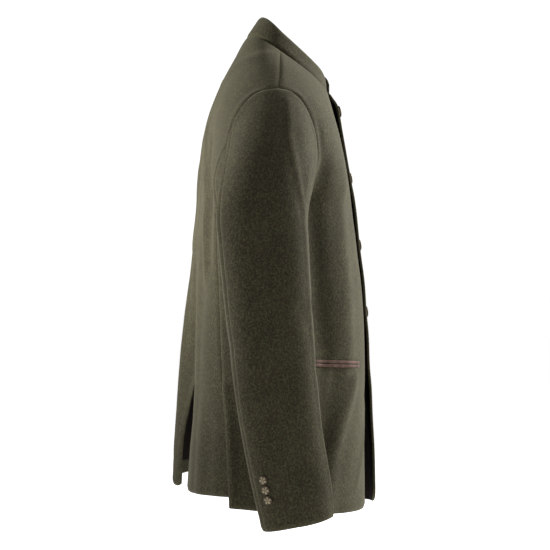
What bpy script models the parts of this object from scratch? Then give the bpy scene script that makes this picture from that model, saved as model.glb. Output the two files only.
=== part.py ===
import bpy
import numpy as np
from math import pi

# Main sizes, in metres. X is across the wearer, the front faces -Y, Z is up,
# and the origin is the middle of the neck between the two side neck points.
CLOTH = 0.0024
EDGE_CLOTH = 0.0046
SEAM_INSET = 0.00017
OVERLAP = 0.020
VENT_TOP = -0.540

# Back line and front line of the body: row value, height, y, roundness of the
# section on that row, and how the height runs to the outer edge of the row.
BACK_LINE = {
    "row":   (0.00, 0.25, 0.50, 0.75, 1.00, 1.25, 1.50, 1.75, 2.00, 2.12, 2.25, 2.36, 2.48, 2.60,
              2.72, 2.86, 3.00),
    "z":     (0.033, 0.014, -0.008, -0.034, -0.064, -0.108, -0.157, -0.207, -0.258, -0.315, -0.376,
              -0.429, -0.485, -0.542, -0.599, -0.665, -0.731),
    "y":     (0.0477, 0.0590, 0.0700, 0.0865, 0.0990, 0.1140, 0.1200, 0.1240, 0.1280, 0.1335, 0.1360,
              0.1370, 0.1385, 0.1400, 0.1420, 0.1470, 0.1510),
    "round": (2.1, 2.2, 2.3, 2.4, 2.4, 2.4, 2.4, 2.5, 2.6, 2.6, 2.7, 2.8, 2.9, 3.0, 3.0, 3.0, 3.0),
    "fall":  (1.0, 1.2, 1.5, 1.8, 2.0, 1.8, 1.5, 1.2, 1.0, 1.0, 1.0, 1.0, 1.0, 1.0, 1.0, 1.0, 1.0),
    "turn":  (1.0, 1.0, 1.0, 1.0, 1.0, 0.80, 0.74, 0.82, 1.0, 1.0, 1.0, 1.0, 1.0, 1.0, 1.0, 1.0, 1.0),
}
FRONT_LINE = {
    "row":   (0.00, 0.25, 0.50, 0.75, 1.00, 1.25, 1.50, 1.75, 2.00, 2.14, 2.28, 2.42, 2.56, 2.70,
              2.85, 3.00),
    "z":     (-0.060, -0.070, -0.081, -0.092, -0.104, -0.138, -0.176, -0.216, -0.258, -0.328, -0.398,
              -0.468, -0.538, -0.607, -0.682, -0.757),
    "y":     (-0.0880, -0.0905, -0.0935, -0.0960, -0.0985, -0.1065, -0.1135, -0.1205, -0.1275,
              -0.1365, -0.1450, -0.1488, -0.1500, -0.1485, -0.1500, -0.1500),
    "round": (2.0, 1.9, 1.8, 1.75, 1.7, 1.8, 1.9, 2.0, 2.1, 2.1, 2.1, 2.1, 2.1, 2.1, 2.1, 2.1),
    "fall":  (1.0, 1.2, 1.5, 1.8, 2.0, 1.8, 1.5, 1.2, 1.0, 1.0, 1.0, 1.0, 1.0, 1.0, 1.0, 1.0),
    "turn":  (1.0, 1.0, 1.0, 1.0, 1.0, 0.82, 0.76, 0.84, 1.0, 1.0, 1.0, 1.0, 1.0, 1.0, 1.0, 1.0),
}
# Outer edge of the rows: shoulder seam to row 1, armhole to row 2, side below.
SHOULDER_EDGE = {
    "row": (0.00, 0.33, 0.67, 1.00),
    "x":   (0.085, 0.1330, 0.1820, 0.2300),
    "y":   (0.002, 0.0090, 0.0160, 0.0250),
    "z":   (0.000, -0.0225, -0.0490, -0.0800),
}
BACK_EDGE = {
    "row": (1.00, 1.15, 1.30, 1.45, 1.60, 1.75, 1.88, 2.00),
    "x":   (0.230, 0.2285, 0.2250, 0.2190, 0.2120, 0.2060, 0.2015, 0.1990),
    "y":   (0.025, 0.0500, 0.0720, 0.0910, 0.1020, 0.1000, 0.0780, 0.0400),
    "z":   (-0.080, -0.0835, -0.0970, -0.1250, -0.1650, -0.2050, -0.2400, -0.2560),
}
FRONT_EDGE = {
    "row": (1.00, 1.15, 1.30, 1.45, 1.60, 1.75, 1.88, 2.00),
    "x":   (0.230, 0.2285, 0.2250, 0.2190, 0.2130, 0.2070, 0.2020, 0.1990),
    "y":   (0.025, 0.0040, -0.0125, -0.0270, -0.0365, -0.0345, -0.0120, 0.0400),
    "z":   (-0.080, -0.0845, -0.0990, -0.1250, -0.1580, -0.1960, -0.2350, -0.2560),
}
SIDE_EDGE = {
    "row": (2.00, 2.30, 2.60, 3.00),
    "x":   (0.199, 0.198, 0.202, 0.206),
    "y":   (0.040, 0.034, 0.028, 0.022),
    "z":   (-0.256, -0.4015, -0.547, -0.741),
}
# Where the seam between back and front leaves the armhole and how far it is
# from the centre back, as a share of the row.
SEAM_ROW = 1.60
BACK_SEAM = {
    "row":   (1.60, 1.70, 1.80, 1.90, 2.00, 2.12, 2.25, 2.50, 2.75, 3.00),
    "share": (1.00, 0.83, 0.70, 0.625, 0.585, 0.600, 0.630, 0.662, 0.705, 0.728),
}
# The centre back falls in between the two seat halves and the left half of the
# back stands out behind the vent: height, depth of the hollow, left bulge.
SEAT = {
    "z":      (-0.760, -0.700, -0.640, -0.580, -0.520, -0.460, -0.400, -0.340, -0.280, -0.200),
    "hollow": (0.000, 0.001, 0.002, 0.003, 0.005, 0.006, 0.004, 0.002, 0.000, 0.000),
    "bulge":  (0.0200, 0.0200, 0.0200, 0.0200, 0.0180, 0.0140, 0.0090, 0.0045, 0.0015, 0.000),
}
HOLLOW_WIDTH = 0.035
# The edge of the left half is lifted along the vent.
VENT_LIFT = {
    "z":    (-0.760, -0.716, -0.666, -0.633, -0.583, -0.540, -0.500),
    "lift": (0.0000, 0.0020, 0.0080, 0.0100, 0.0066, 0.0000, 0.0000),
}
# Half gap of the vent at each side of the centre back.
VENT = {
    "z":     (-0.760, -0.700, -0.640, -0.580, -0.540),
    "right": (0.011, 0.008, 0.005, 0.002, 0.0002),
    "left":  (0.032, 0.026, 0.016, 0.006, 0.0002),
}
# How far the outer left front stands off the right front.
STANDOFF = {
    "z":   (-0.760, -0.720, -0.630, -0.565, -0.530, -0.465, -0.433, -0.380, -0.319,
            -0.260, -0.205, -0.160, -0.115, -0.095, -0.082, -0.070, -0.060),
    "off": (0.0215, 0.0205, 0.0185, 0.0150, 0.0115, 0.0100, 0.0082, 0.0088, 0.0085,
            0.0100, 0.0095, 0.0095, 0.0110, 0.0130, 0.0125, 0.0085, 0.0064),
}
CORNER_RADIUS = 0.028
HEM_STEP = 0.0175
VENT_CORNER = 0.006
TOP_CORNER_DROP = 0.018

# Collar: share of the neck seam from centre back to centre front, lean of the
# top edge inwards across and along, and rise.
COLLAR = {
    "share": (0.00, 0.20, 0.42, 0.60, 0.75, 0.86, 0.93, 0.97, 1.00),
    "dx":    (0.000, 0.006, 0.014, 0.016, 0.013, 0.008, 0.005, 0.003, 0.001),
    "dy":    (-0.0220, -0.0180, -0.0060, 0.0020, 0.0050, 0.0050, 0.0035, 0.0015, 0.0002),
    "dz":    (0.0335, 0.0318, 0.0318, 0.0335, 0.0335, 0.0325, 0.0290, 0.0230, 0.0150),
}

# Sleeve sections below the sleeve head: height, middle and half sizes.
SLEEVE = {
    "z":      (-0.755, -0.700, -0.600, -0.500, -0.400, -0.300),
    "x":      (0.2850, 0.2830, 0.2800, 0.2760, 0.2720, 0.2680),
    "y":      (0.0020, 0.0102, 0.0282, 0.0396, 0.0480, 0.0550),
    "half_x": (0.0400, 0.0430, 0.0470, 0.0500, 0.0515, 0.0520),
    "half_y": (0.0555, 0.0600, 0.0620, 0.0648, 0.0670, 0.0690),
}
SLEEVE_ROUND = 2.3
BACK_SEAM_ANGLE = 0.25
FRONT_SEAM_ANGLE = 0.70
HEAD_END = -0.300
CUFF_BACK = -0.756
CUFF_FRONT = -0.734
# The left arm hangs this much further forward than the right one.
LEFT_FORWARD = 0.015


def smooth(table, key, column, at):
    """Cubic curve through one column of a table."""
    xs = np.asarray(table[key], float)
    ys = np.asarray(table[column], float)
    at = np.clip(np.asarray(at, float), xs[0], xs[-1])
    step = np.diff(xs)
    slope = np.diff(ys) / step
    tangent = np.empty_like(ys)
    tangent[0] = slope[0]
    tangent[-1] = slope[-1]
    tangent[1:-1] = (step[1:] * slope[:-1] + step[:-1] * slope[1:]) / (step[1:] + step[:-1])
    k = np.clip(np.searchsorted(xs, at, side="right") - 1, 0, len(xs) - 2)
    t = (at - xs[k]) / step[k]
    a = (2 * t**3 - 3 * t**2 + 1) * ys[k]
    b = (t**3 - 2 * t**2 + t) * step[k] * tangent[k]
    c = (-2 * t**3 + 3 * t**2) * ys[k + 1]
    d = (t**3 - t**2) * step[k] * tangent[k + 1]
    return a + b + c + d


def ease(value, low, high):
    t = np.clip((value - low) / (high - low), 0.0, 1.0)
    return t * t * (3 - 2 * t)


def edge_point(part, row):
    """Outer end of a row, on the wearer's right (positive here, mirrored later)."""
    table = BACK_EDGE if part == "back" else FRONT_EDGE
    if row <= 1.0:
        table = SHOULDER_EDGE
    elif row >= 2.0:
        table = SIDE_EDGE
    return np.array([float(smooth(table, "row", c, row)) for c in "xyz"])


def row_curve(part, side, row, count=160):
    """Dense points of one row from the middle line to the outer edge.

    x is counted from the middle towards the side of the panel, so it is
    negative past the middle front."""
    line = BACK_LINE if part == "back" else FRONT_LINE
    z0 = float(smooth(line, "row", "z", row))
    y0 = float(smooth(line, "row", "y", row))
    power = 2.0 / float(smooth(line, "row", "round", row))
    fall = float(smooth(line, "row", "fall", row))
    end = edge_point(part, row)
    turn = min(float(smooth(line, "row", "turn", row)), 1.0) * pi / 2
    wide = np.sin(turn) ** power
    deep = 1.0 - max(np.cos(turn), 0.0) ** power
    angle = np.linspace(0.0, 1.0, count) ** 1.35 * turn
    x = end[0] * np.sin(angle) ** power / wide
    g = (1.0 - np.cos(angle).clip(0.0) ** power) / deep
    g[-1] = 1.0
    if part == "front":
        lead = np.linspace(-0.030, -0.001, 16)
        n = 2.0 / power
        g_lead = (1.0 - (1.0 - np.abs(lead / end[0] * wide) ** n) ** (1.0 / n)) / deep
        x = np.concatenate([lead, x])
        g = np.concatenate([g_lead, g])
    y = y0 + (end[1] - y0) * g
    z = z0 + (end[2] - z0) * (1.0 - (1.0 - g) ** fall)
    if part == "back":
        hollow = smooth(SEAT, "z", "hollow", z)
        y = y - hollow * np.exp(-(x / HOLLOW_WIDTH) ** 2)
        if side > 0:
            bulge = smooth(SEAT, "z", "bulge", z)
            y = y + bulge * ease(x, 0.004, 0.060) * (1 - ease(x, 0.105, 0.190))
            y = y + smooth(VENT_LIFT, "z", "lift", z) * (1 - ease(x, 0.020, 0.075))
    elif side > 0:
        off = smooth(STANDOFF, "z", "off", z)
        y = y - off * (1 - ease(x, 0.012, 0.055))
    return np.stack([x, y, z], axis=1)


def body_row(part, side, row, distances):
    """Points of one row at distances from the middle line, or at shares of
    the row where distances is a function of its length."""
    pts = row_curve(part, side, row)
    step = np.linalg.norm(np.diff(pts, axis=0), axis=1)
    arc = np.concatenate([[0.0], np.cumsum(step)])
    if part == "front":
        arc = arc - arc[16]
    d = distances(row, arc[-1])
    return np.stack([np.interp(d, arc, pts[:, k]) for k in range(3)], axis=1), d


def own_rows(kind, row, d):
    """Row on which each column of a row really lies. The back is shorter than
    the front at the side seam, the corner of the vent and the lower corner of
    the front are round, and the top of the overlap slants down."""
    own = np.full(len(d), float(row))
    low = max(row - 2.0, 0.0)
    if kind == "back panel":
        share = (d - d[0]) / (d[-1] - d[0])
        rise = HEM_STEP * share + VENT_CORNER * (1 - np.clip(share / 0.08, 0.0, 1.0)) ** 2
        own -= rise / 0.475 * low**4
    if kind == "front":
        past = np.clip(-d, 0.0, OVERLAP) / OVERLAP
        own += TOP_CORNER_DROP / 0.044 * past**1.6 * max(1.0 - row / 1.25, 0.0)
        from_edge = CORNER_RADIUS - np.clip(d + OVERLAP, 0.0, CORNER_RADIUS)
        rise = CORNER_RADIUS - np.sqrt(CORNER_RADIUS**2 - from_edge**2)
        own -= 0.85 * rise / 0.499 * low**5
    return own


def body_grid(kind, side, rows, columns):
    """Points of a body patch (front, back panel or back strip): columns(row,
    length) gives distances from the middle line along each row."""
    part = kind.split()[0]
    grid = []
    for row in rows:
        p, d = body_row(part, side, row, columns)
        own = own_rows(kind, row, d)
        for j in np.nonzero(np.abs(own - row) > 1e-7)[0]:
            p[j] = body_row(part, side, own[j], columns)[0][j]
        p[:, 0] *= side
        grid.append(p)
    return np.array(grid)


def body_normals(kind, side, rows, columns, reach=0.004):
    """Outward normals of a body patch, taken from the surface itself."""
    part = kind.split()[0]

    def line(r):
        low = max(r - reach, 0.0)
        high = min(r + reach, 3.0)
        if r >= 2.0 > low:
            low = 2.0
        if r < 2.0 < high:
            high = 2.0 - 1e-9
        down = body_row(part, side, high, columns)[0] - body_row(part, side, low, columns)[0]
        ahead = body_row(part, side, r, lambda a, b: columns(a, b) + 0.002)[0]
        behind = body_row(part, side, r, lambda a, b: columns(a, b) - 0.002)[0]
        return np.cross(ahead - behind, down)

    grid = []
    for row in rows:
        n = line(row)
        own = own_rows(kind, row, body_row(part, side, row, columns)[1])
        for j in np.nonzero(np.abs(own - row) > 1e-7)[0]:
            n[j] = line(own[j])[j]
        n /= np.linalg.norm(n, axis=1)[:, None]
        if part == "front":
            n = -n
        n[:, 0] *= side
        grid.append(n)
    return np.array(grid)


def back_columns(count, strip_count, side):
    """Distances for the back panel and for the strip behind the side."""
    def panel(row, length):
        z = float(smooth(BACK_LINE, "row", "z", row))
        start = 0.0
        if z < VENT_TOP:
            start = float(smooth(VENT, "z", "left" if side > 0 else "right", z))
        share = 1.0 if row <= SEAM_ROW else float(smooth(BACK_SEAM, "row", "share", row))
        return np.linspace(start, share * length, count + 1)

    def strip(row, length):
        share = 1.0 if row <= SEAM_ROW else float(smooth(BACK_SEAM, "row", "share", row))
        return np.linspace(share * length, length, strip_count + 1)
    return panel, strip


def front_columns(count):
    def panel(row, length):
        t = np.linspace(0.0, 1.0, count + 1)
        t = 0.45 * t + 0.55 * t**1.6
        return -OVERLAP + (length + OVERLAP) * t
    return panel


def armhole_ring(side, rows):
    """Closed ring of the armhole from the shoulder point over the back."""
    back = [edge_point("back", r) for r in rows]
    front = [edge_point("front", r) for r in rows]
    ring = back + front[-2:0:-1]
    ring = np.array(ring)
    ring[:, 0] *= side
    return ring


def sleeve_section(side, z, angle):
    """Point of the sleeve below the head at an angle from the outer side."""
    x = smooth(SLEEVE, "z", "x", z)
    y = smooth(SLEEVE, "z", "y", z) - (LEFT_FORWARD if side > 0 else 0.0)
    hx = smooth(SLEEVE, "z", "half_x", z)
    hy = smooth(SLEEVE, "z", "half_y", z)
    c = np.cos(angle)
    s = np.sin(angle)
    p = 2.0 / SLEEVE_ROUND
    return np.stack([side * (x + hx * np.sign(c) * np.abs(c) ** p),
                     y + hy * np.sign(s) * np.abs(s) ** p,
                     z + 0.0 * c], axis=-1)


def sleeve_grid(side, arm_rows, head_steps, arm_steps):
    """Rings of the sleeve from the armhole to the cuff, columns round it."""
    ring = armhole_ring(side, arm_rows)
    n = len(ring)
    loop = np.vstack([ring, ring[:1]])
    arc = np.concatenate([[0.0], np.cumsum(np.linalg.norm(np.diff(loop, axis=0), axis=1))])
    angle = 2 * pi * arc[:-1] / arc[-1]
    top = np.full(n, HEAD_END)
    start = sleeve_section(side, top, angle)
    chord = np.linalg.norm(start - ring, axis=1)
    outer = np.clip(np.cos(angle), 0.0, 1.0)
    under = np.clip(-np.cos(angle), 0.0, 1.0)
    lead = np.stack([side * (0.42 + 0.50 * outer**1.5 - 0.2 * under), 0.10 * np.sin(angle),
                     -(1.0 - 0.42 * outer**1.5)], axis=1)
    lead /= np.linalg.norm(lead, axis=1)[:, None]
    below = sleeve_section(side, top - 0.01, angle)
    trail = (below - start)
    trail /= np.linalg.norm(trail, axis=1)[:, None]
    rings = []
    for t in np.linspace(0.0, 1.0, head_steps + 1):
        a = 2 * t**3 - 3 * t**2 + 1
        b = t**3 - 2 * t**2 + t
        c = -2 * t**3 + 3 * t**2
        d = t**3 - t**2
        rings.append(a * ring + b * chord[:, None] * lead + c * start + d * chord[:, None] * trail)
    cuff = CUFF_FRONT + (CUFF_BACK - CUFF_FRONT) * (np.sin(angle) + 1) / 2
    for t in np.linspace(0.0, 1.0, arm_steps + 1)[1:]:
        rings.append(sleeve_section(side, HEAD_END + (cuff - HEAD_END) * t, angle))
    return np.array(rings)


def collar_grid(side, share_count, rise_steps):
    """Half collar from centre back to centre front, on top of the neck seam."""
    back = row_curve("back", side, 0.0)
    front = row_curve("front", side, 0.0)[16:]
    seam = np.vstack([back, front[::-1][1:]])
    arc = np.concatenate([[0.0], np.cumsum(np.linalg.norm(np.diff(seam, axis=0), axis=1))])
    share = np.linspace(0.0, 1.0, share_count + 1)
    base = np.stack([np.interp(share * arc[-1], arc, seam[:, k]) for k in range(3)], axis=1)
    lift = np.stack([-smooth(COLLAR, "share", "dx", share), smooth(COLLAR, "share", "dy", share),
                     smooth(COLLAR, "share", "dz", share)], axis=1)
    rows = []
    for t in np.linspace(0.0, 1.0, rise_steps + 1):
        # The stand starts a little steeper than it ends.
        p = base + lift * np.array([t**1.15, t**1.1, t**0.95])
        p[:, 0] *= side
        rows.append(p)
    return np.array(rows)


# Counts of rows and columns used for the solids.
SHOULDER_ROWS = 5
ARMHOLE_ROWS = 10
SKIRT_ROWS = 15
BACK_COLUMNS = 9
STRIP_COLUMNS = 5
FRONT_COLUMNS = 18
HEAD_STEPS = 7
ARM_STEPS = 10
COLLAR_COLUMNS = 18
COLLAR_STEPS = 3

COLLAR_CLOTH = 0.0032

# Pocket welts: distance from the middle front and height at both ends.
POCKET = {"front_end": 0.114, "rear_end": 0.258, "front_z": -0.5110, "rear_z": -0.5020}
WELT_TALL = 0.0050
WELT_THICK = 0.0020
WELT_GAP = 0.0012
LIFT = 0.0004

FRONT_BUTTON_HEIGHTS = (-0.091, -0.205, -0.319, -0.433)
FRONT_BUTTON_RADIUS = 0.0100
FRONT_BUTTON_TALL = 0.0050
CUFF_BUTTON_HEIGHTS = (-0.6755, -0.6905, -0.7056)
CUFF_BUTTON_RADIUS = 0.0073
CUFF_BUTTON_TALL = 0.0040
CUFF_BUTTON_FROM_BACK = 0.0391

LODEN = (0.060, 0.058, 0.038, 1.0)
LEATHER = (0.120, 0.075, 0.055, 1.0)
BUTTON = (0.35, 0.31, 0.25, 1.0)


def material(name, colour, rough, metal):
    mat = bpy.data.materials.new(name)
    mat.use_nodes = True
    node = mat.node_tree.nodes["Principled BSDF"]
    node.inputs["Base Color"].default_value = colour
    node.inputs["Roughness"].default_value = rough
    node.inputs["Metallic"].default_value = metal
    return mat


def weld(grids, normal_grids):
    """Join grids of points that share edges into points, normals and faces."""
    index = {}
    points = []
    normals = []
    faces = []
    for grid, normal_grid in zip(grids, normal_grids):
        ids = np.empty(grid.shape[:2], int)
        for i in range(grid.shape[0]):
            for j in range(grid.shape[1]):
                key = tuple(np.round(grid[i, j] * 2e5).astype(int))
                if key not in index:
                    index[key] = len(points)
                    points.append(grid[i, j])
                    normals.append(np.zeros(3))
                ids[i, j] = index[key]
                normals[ids[i, j]] = normals[ids[i, j]] + normal_grid[i, j]
        for i in range(grid.shape[0] - 1):
            for j in range(grid.shape[1] - 1):
                quad = [ids[i, j], ids[i + 1, j], ids[i + 1, j + 1], ids[i, j + 1]]
                face = []
                for v in quad:
                    if v not in face:
                        face.append(v)
                if len(face) > 2:
                    faces.append(face)
    points = np.array(points)
    normals = np.array(normals)
    normals /= np.linalg.norm(normals, axis=1)[:, None]
    total = 0.0
    for face in faces:
        total += float(np.dot(face_normal(points, face), normals[face].mean(axis=0)))
    if total < 0:
        faces = [face[::-1] for face in faces]
    return points, normals, faces


def face_normal(points, face):
    p = points[face]
    if len(face) == 3:
        return np.cross(p[1] - p[0], p[2] - p[0])
    return np.cross(p[2] - p[0], p[3] - p[1])


def outward(points, faces, inside):
    """Turn the faces so that they look away from the inside point."""
    total = 0.0
    for face in faces:
        total += float(np.dot(face_normal(points, face), points[face].mean(axis=0) - inside))
    if total < 0:
        faces = [face[::-1] for face in faces]
    return faces


def grid_normals(grid, closed, inside):
    """Normals of a grid of points from its neighbours along and across."""
    down = np.gradient(grid, axis=0)
    if closed:
        across = np.roll(grid, -1, axis=1) - np.roll(grid, 1, axis=1)
    else:
        across = np.gradient(grid, axis=1)
    n = np.cross(across, down)
    n /= np.linalg.norm(n, axis=2)[..., None]
    if np.sum(n * (grid - inside)) < 0:
        n = -n
    return n


def share_normals(pieces):
    """Points on a seam get one normal, so that two walls meet in a mitre. A
    sleeve and the body share it only where they run on smoothly."""
    table = {}
    for name, points, normals, faces in pieces:
        family = "sleeve" if "Sleeve" in name else "body"
        for p, n in zip(points, normals):
            pair = table.setdefault(tuple(np.round(p * 2e5).astype(int)), {})
            pair[family] = pair.get(family, 0.0) + n
    shared = []
    for name, points, normals, faces in pieces:
        family = "sleeve" if "Sleeve" in name else "body"
        out = normals.copy()
        for i, p in enumerate(points):
            found = table[tuple(np.round(p * 2e5).astype(int))]
            pair = {k: v / np.linalg.norm(v) for k, v in found.items()}
            total = pair[family]
            if len(pair) == 2 and np.dot(pair["body"], pair["sleeve"]) > 0.35:
                total = pair["body"] + pair["sleeve"]
            out[i] = total / np.linalg.norm(total)
        shared.append(out)
    return shared


def border(faces):
    """Border edges in the direction of their face."""
    sides = [(a, b, face) for face in faces for a, b in zip(face, face[1:] + face[:1])]
    seen = {(a, b) for a, b, face in sides}
    return [(a, b, face) for a, b, face in sides if (b, a) not in seen]


def inset(points, faces, normals, width):
    """Shift of the border points along the cloth, which leaves the seam gap."""
    pull = np.zeros_like(points)
    for a, b, face in border(faces):
        along = points[b] - points[a]
        along /= np.linalg.norm(along)
        inner = points[face].mean(axis=0) - (points[a] + points[b]) / 2
        inner -= along * np.dot(inner, along)
        inner /= np.linalg.norm(inner)
        pull[a] += inner
        pull[b] += inner
    size = np.linalg.norm(pull, axis=1)
    move = np.zeros_like(points)
    on = size > 1e-6
    # Two equal pulls add up to length 2, a corner gets a longer move.
    move[on] = pull[on] / size[on][:, None] * width * np.clip(2.0 / size[on], 1.0, 5.0)[:, None]
    return move


def cloth_solid(name, points, faces, normals, wall, mat, width=SEAM_INSET):
    move = inset(points, faces, normals, width)
    outer = points + move
    inner = points - normals * np.reshape(wall, (-1, 1)) + move
    n = len(points)
    every = [list(f) for f in faces]
    every += [[v + n for v in face[::-1]] for face in faces]
    for a, b, face in border(faces):
        # The same diagonal on both sides of a seam.
        if tuple(points[a]) < tuple(points[b]):
            every += [[b, a, b + n], [a, a + n, b + n]]
        else:
            every += [[b, a, a + n], [b, a + n, b + n]]
    return add_object(name, np.vstack([outer, inner]), every, mat)


def add_object(name, points, faces, mat):
    mesh = bpy.data.meshes.new(name)
    corners = [tuple(float(c) for c in p) for p in points]
    mesh.from_pydata(corners, [], [tuple(int(v) for v in face) for face in faces])
    mesh.update()
    for polygon in mesh.polygons:
        polygon.use_smooth = True
    obj = bpy.data.objects.new(name, mesh)
    obj.data.materials.append(mat)
    bpy.context.scene.collection.objects.link(obj)
    return obj


def front_point(side, away, height):
    """Point and outward normal of the front at a distance from the middle
    front and at a height."""
    def at(row, dist):
        pair = np.array([dist, dist + 0.001])
        return body_grid("front", side, [row], lambda r, length: pair)[0][0]
    low = 0.3
    high = 3.0
    for step in range(24):
        mid = (low + high) / 2
        if at(mid, away)[2] > height:
            low = mid
        else:
            high = mid
    row = (low + high) / 2
    p = at(row, away)
    across = at(row, away + 0.002) - at(row, away - 0.002)
    down = at(row + 0.01, away) - at(row - 0.01, away)
    n = np.cross(across, down)
    n /= np.linalg.norm(n)
    if np.dot(n, p - np.array([0.0, 0.05, p[2]])) < 0:
        n = -n
    return p, n


def welt(name, side, top_drop, mat, steps=12):
    """Leather bar laid on the front from its own points."""
    profile = ((0.0, 0.0), (0.0, 0.75), (0.2, 1.0), (0.8, 1.0), (1.0, 0.75), (1.0, 0.0))
    points = []
    for k in range(steps + 1):
        t = k / steps
        away = POCKET["front_end"] + (POCKET["rear_end"] - POCKET["front_end"]) * t
        top = POCKET["front_z"] + (POCKET["rear_z"] - POCKET["front_z"]) * t - top_drop
        for down, out in profile:
            p, n = front_point(side, away, top - down * WELT_TALL)
            points.append(p + n * (LIFT + out * WELT_THICK))
    count = len(profile)
    faces = []
    for k in range(steps):
        for j in range(count):
            a = k * count + j
            b = k * count + (j + 1) % count
            faces.append([a, b, b + count, a + count])
    faces.append(list(range(count))[::-1])
    faces.append([steps * count + j for j in range(count)])
    points = np.array(points)
    faces = outward(points, faces, points.mean(axis=0))
    return add_object(name, points, faces, mat)


def button(name, centre, normal, radius, tall, mat, segments=18):
    """Cast dome button with a rounded rim, sitting just off the cloth."""
    profile = ((0.00, 0.0), (0.62, 0.0), (0.92, 0.22), (1.00, 0.42),
               (0.95, 0.58), (0.80, 0.72), (0.50, 0.92), (0.0, 1.0))
    normal = normal / np.linalg.norm(normal)
    side = np.cross(normal, np.array([0.0, 0.0, 1.0]))
    side /= np.linalg.norm(side)
    up = np.cross(side, normal)
    start = centre + normal * LIFT
    points = [start]
    for r, h in profile[1:-1]:
        for k in range(segments):
            a = 2 * pi * k / segments
            spoke = side * np.cos(a) + up * np.sin(a)
            points.append(start + spoke * r * radius + normal * h * tall)
    points.append(start + normal * tall)
    last = len(points) - 1
    rings = len(profile) - 2
    faces = []
    for k in range(segments):
        n = (k + 1) % segments
        faces.append([0, 1 + n, 1 + k])
        for ring in range(rings - 1):
            a = 1 + ring * segments
            faces.append([a + k, a + n, a + n + segments, a + k + segments])
        a = 1 + (rings - 1) * segments
        faces.append([a + k, a + n, last])
    points = np.array(points)
    faces = outward(points, faces, points.mean(axis=0))
    return add_object(name, points, faces, mat)


def body_rows():
    return np.concatenate([np.linspace(0, 1, SHOULDER_ROWS + 1)[:-1],
                           np.linspace(1, 2, ARMHOLE_ROWS + 1)[:-1],
                           np.linspace(2, 3, SKIRT_ROWS + 1)])


def build():
    for obj in list(bpy.data.objects):
        bpy.data.objects.remove(obj, do_unlink=True)
    pieces = []
    rows = body_rows()
    strip_rows = rows[rows > SEAM_ROW - 1e-9]
    arm_rows = np.linspace(1, 2, ARMHOLE_ROWS + 1)
    for side, word in ((-1, "Right"), (1, "Left")):
        panel, strip = back_columns(BACK_COLUMNS, STRIP_COLUMNS, side)
        front = front_columns(FRONT_COLUMNS)
        pieces.append(("Back_" + word,) + weld([body_grid("back panel", side, rows, panel)],
                                               [body_normals("back panel", side, rows, panel)]))
        # The strip runs the other way round, as the back row does.
        behind = body_grid("back strip", side, strip_rows, strip)[:, ::-1]
        behind_normals = body_normals("back strip", side, strip_rows, strip)[:, ::-1]
        pieces.append(("Front_" + word,) + weld([body_grid("front", side, rows, front), behind],
                                                [body_normals("front", side, rows, front),
                                                 behind_normals]))
        sleeve = sleeve_grid(side, arm_rows, HEAD_STEPS, ARM_STEPS)
        turned = grid_normals(sleeve, True, sleeve.mean(axis=1, keepdims=True))
        count = sleeve.shape[1]
        first = round(BACK_SEAM_ANGLE * count)
        last = round(FRONT_SEAM_ANGLE * count)
        ring = np.arange(last, count + first + 1) % count
        for part, columns in (("Top_Sleeve_", ring), ("Under_Sleeve_", np.arange(first, last + 1))):
            pieces.append((part + word,) + weld([sleeve[:, columns]], [turned[:, columns]]))
    halves = [collar_grid(side, COLLAR_COLUMNS, COLLAR_STEPS) for side in (-1, 1)]
    collar = np.concatenate([halves[0][:, ::-1], halves[1][:, 1:]], axis=1)
    outside = grid_normals(collar, False, np.array([0.0, -0.02, 0.0]))
    pieces.append(("Collar",) + weld([collar], [outside]))
    for (name, points, normals, faces), normal in zip(pieces, share_normals(pieces)):
        wall = np.full(len(points), CLOTH)
        if name.startswith("Front_"):
            side = 1 if name.endswith("Left") else -1
            wall += (EDGE_CLOTH - CLOTH) * (1 - ease(points[:, 0] * side, 0.010, 0.026))
        if name == "Collar":
            wall[:] = COLLAR_CLOTH
        cloth_solid(name, points, faces, normal, wall, material(name + "_Loden", LODEN, 0.95, 0.0))
    for side, word in ((-1, "Right"), (1, "Left")):
        for place, drop in (("Upper", 0.0), ("Lower", WELT_TALL + WELT_GAP)):
            leather = material("Welt_%s_%s" % (place, word), LEATHER, 0.6, 0.0)
            welt("Pocket_%s_Welt_%s" % (place, word), side, drop, leather)
        for k, height in enumerate(CUFF_BUTTON_HEIGHTS):
            name = "Cuff_Button_%s_%d" % (word, k + 1)
            centre, normal = cuff_point(side, height)
            metal = material(name, BUTTON, 0.4, 1.0)
            button(name, centre, normal, CUFF_BUTTON_RADIUS, CUFF_BUTTON_TALL, metal, 14)
    for k, height in enumerate(FRONT_BUTTON_HEIGHTS):
        name = "Front_Button_%d" % (k + 1)
        centre, normal = front_point(1, 0.0, height)
        metal = material(name, BUTTON, 0.4, 1.0)
        button(name, centre, normal, FRONT_BUTTON_RADIUS, FRONT_BUTTON_TALL, metal)


def cuff_point(side, height):
    """Place of a cuff button: beside the back seam of the sleeve."""
    def at(angle, z):
        return sleeve_section(side, np.array(z), np.array(angle))
    angle = 2 * pi * BACK_SEAM_ANGLE
    gone = 0.0
    p = at(angle, height)
    while gone < CUFF_BUTTON_FROM_BACK:
        angle -= 0.01
        q = at(angle, height)
        gone += float(np.linalg.norm(q - p))
        p = q
    around = at(angle + 0.02, height) - at(angle - 0.02, height)
    down = at(angle, height - 0.005) - at(angle, height + 0.005)
    n = np.cross(around, down)
    n /= np.linalg.norm(n)
    middle_x = side * float(smooth(SLEEVE, "z", "x", height))
    middle_y = float(smooth(SLEEVE, "z", "y", height))
    if np.dot(n, p - np.array([middle_x, middle_y, height])) < 0:
        n = -n
    return p, n


build()
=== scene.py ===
import bpy
import numpy as np
from math import pi, radians
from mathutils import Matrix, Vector, kdtree
from mathutils import noise as unevenness


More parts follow.
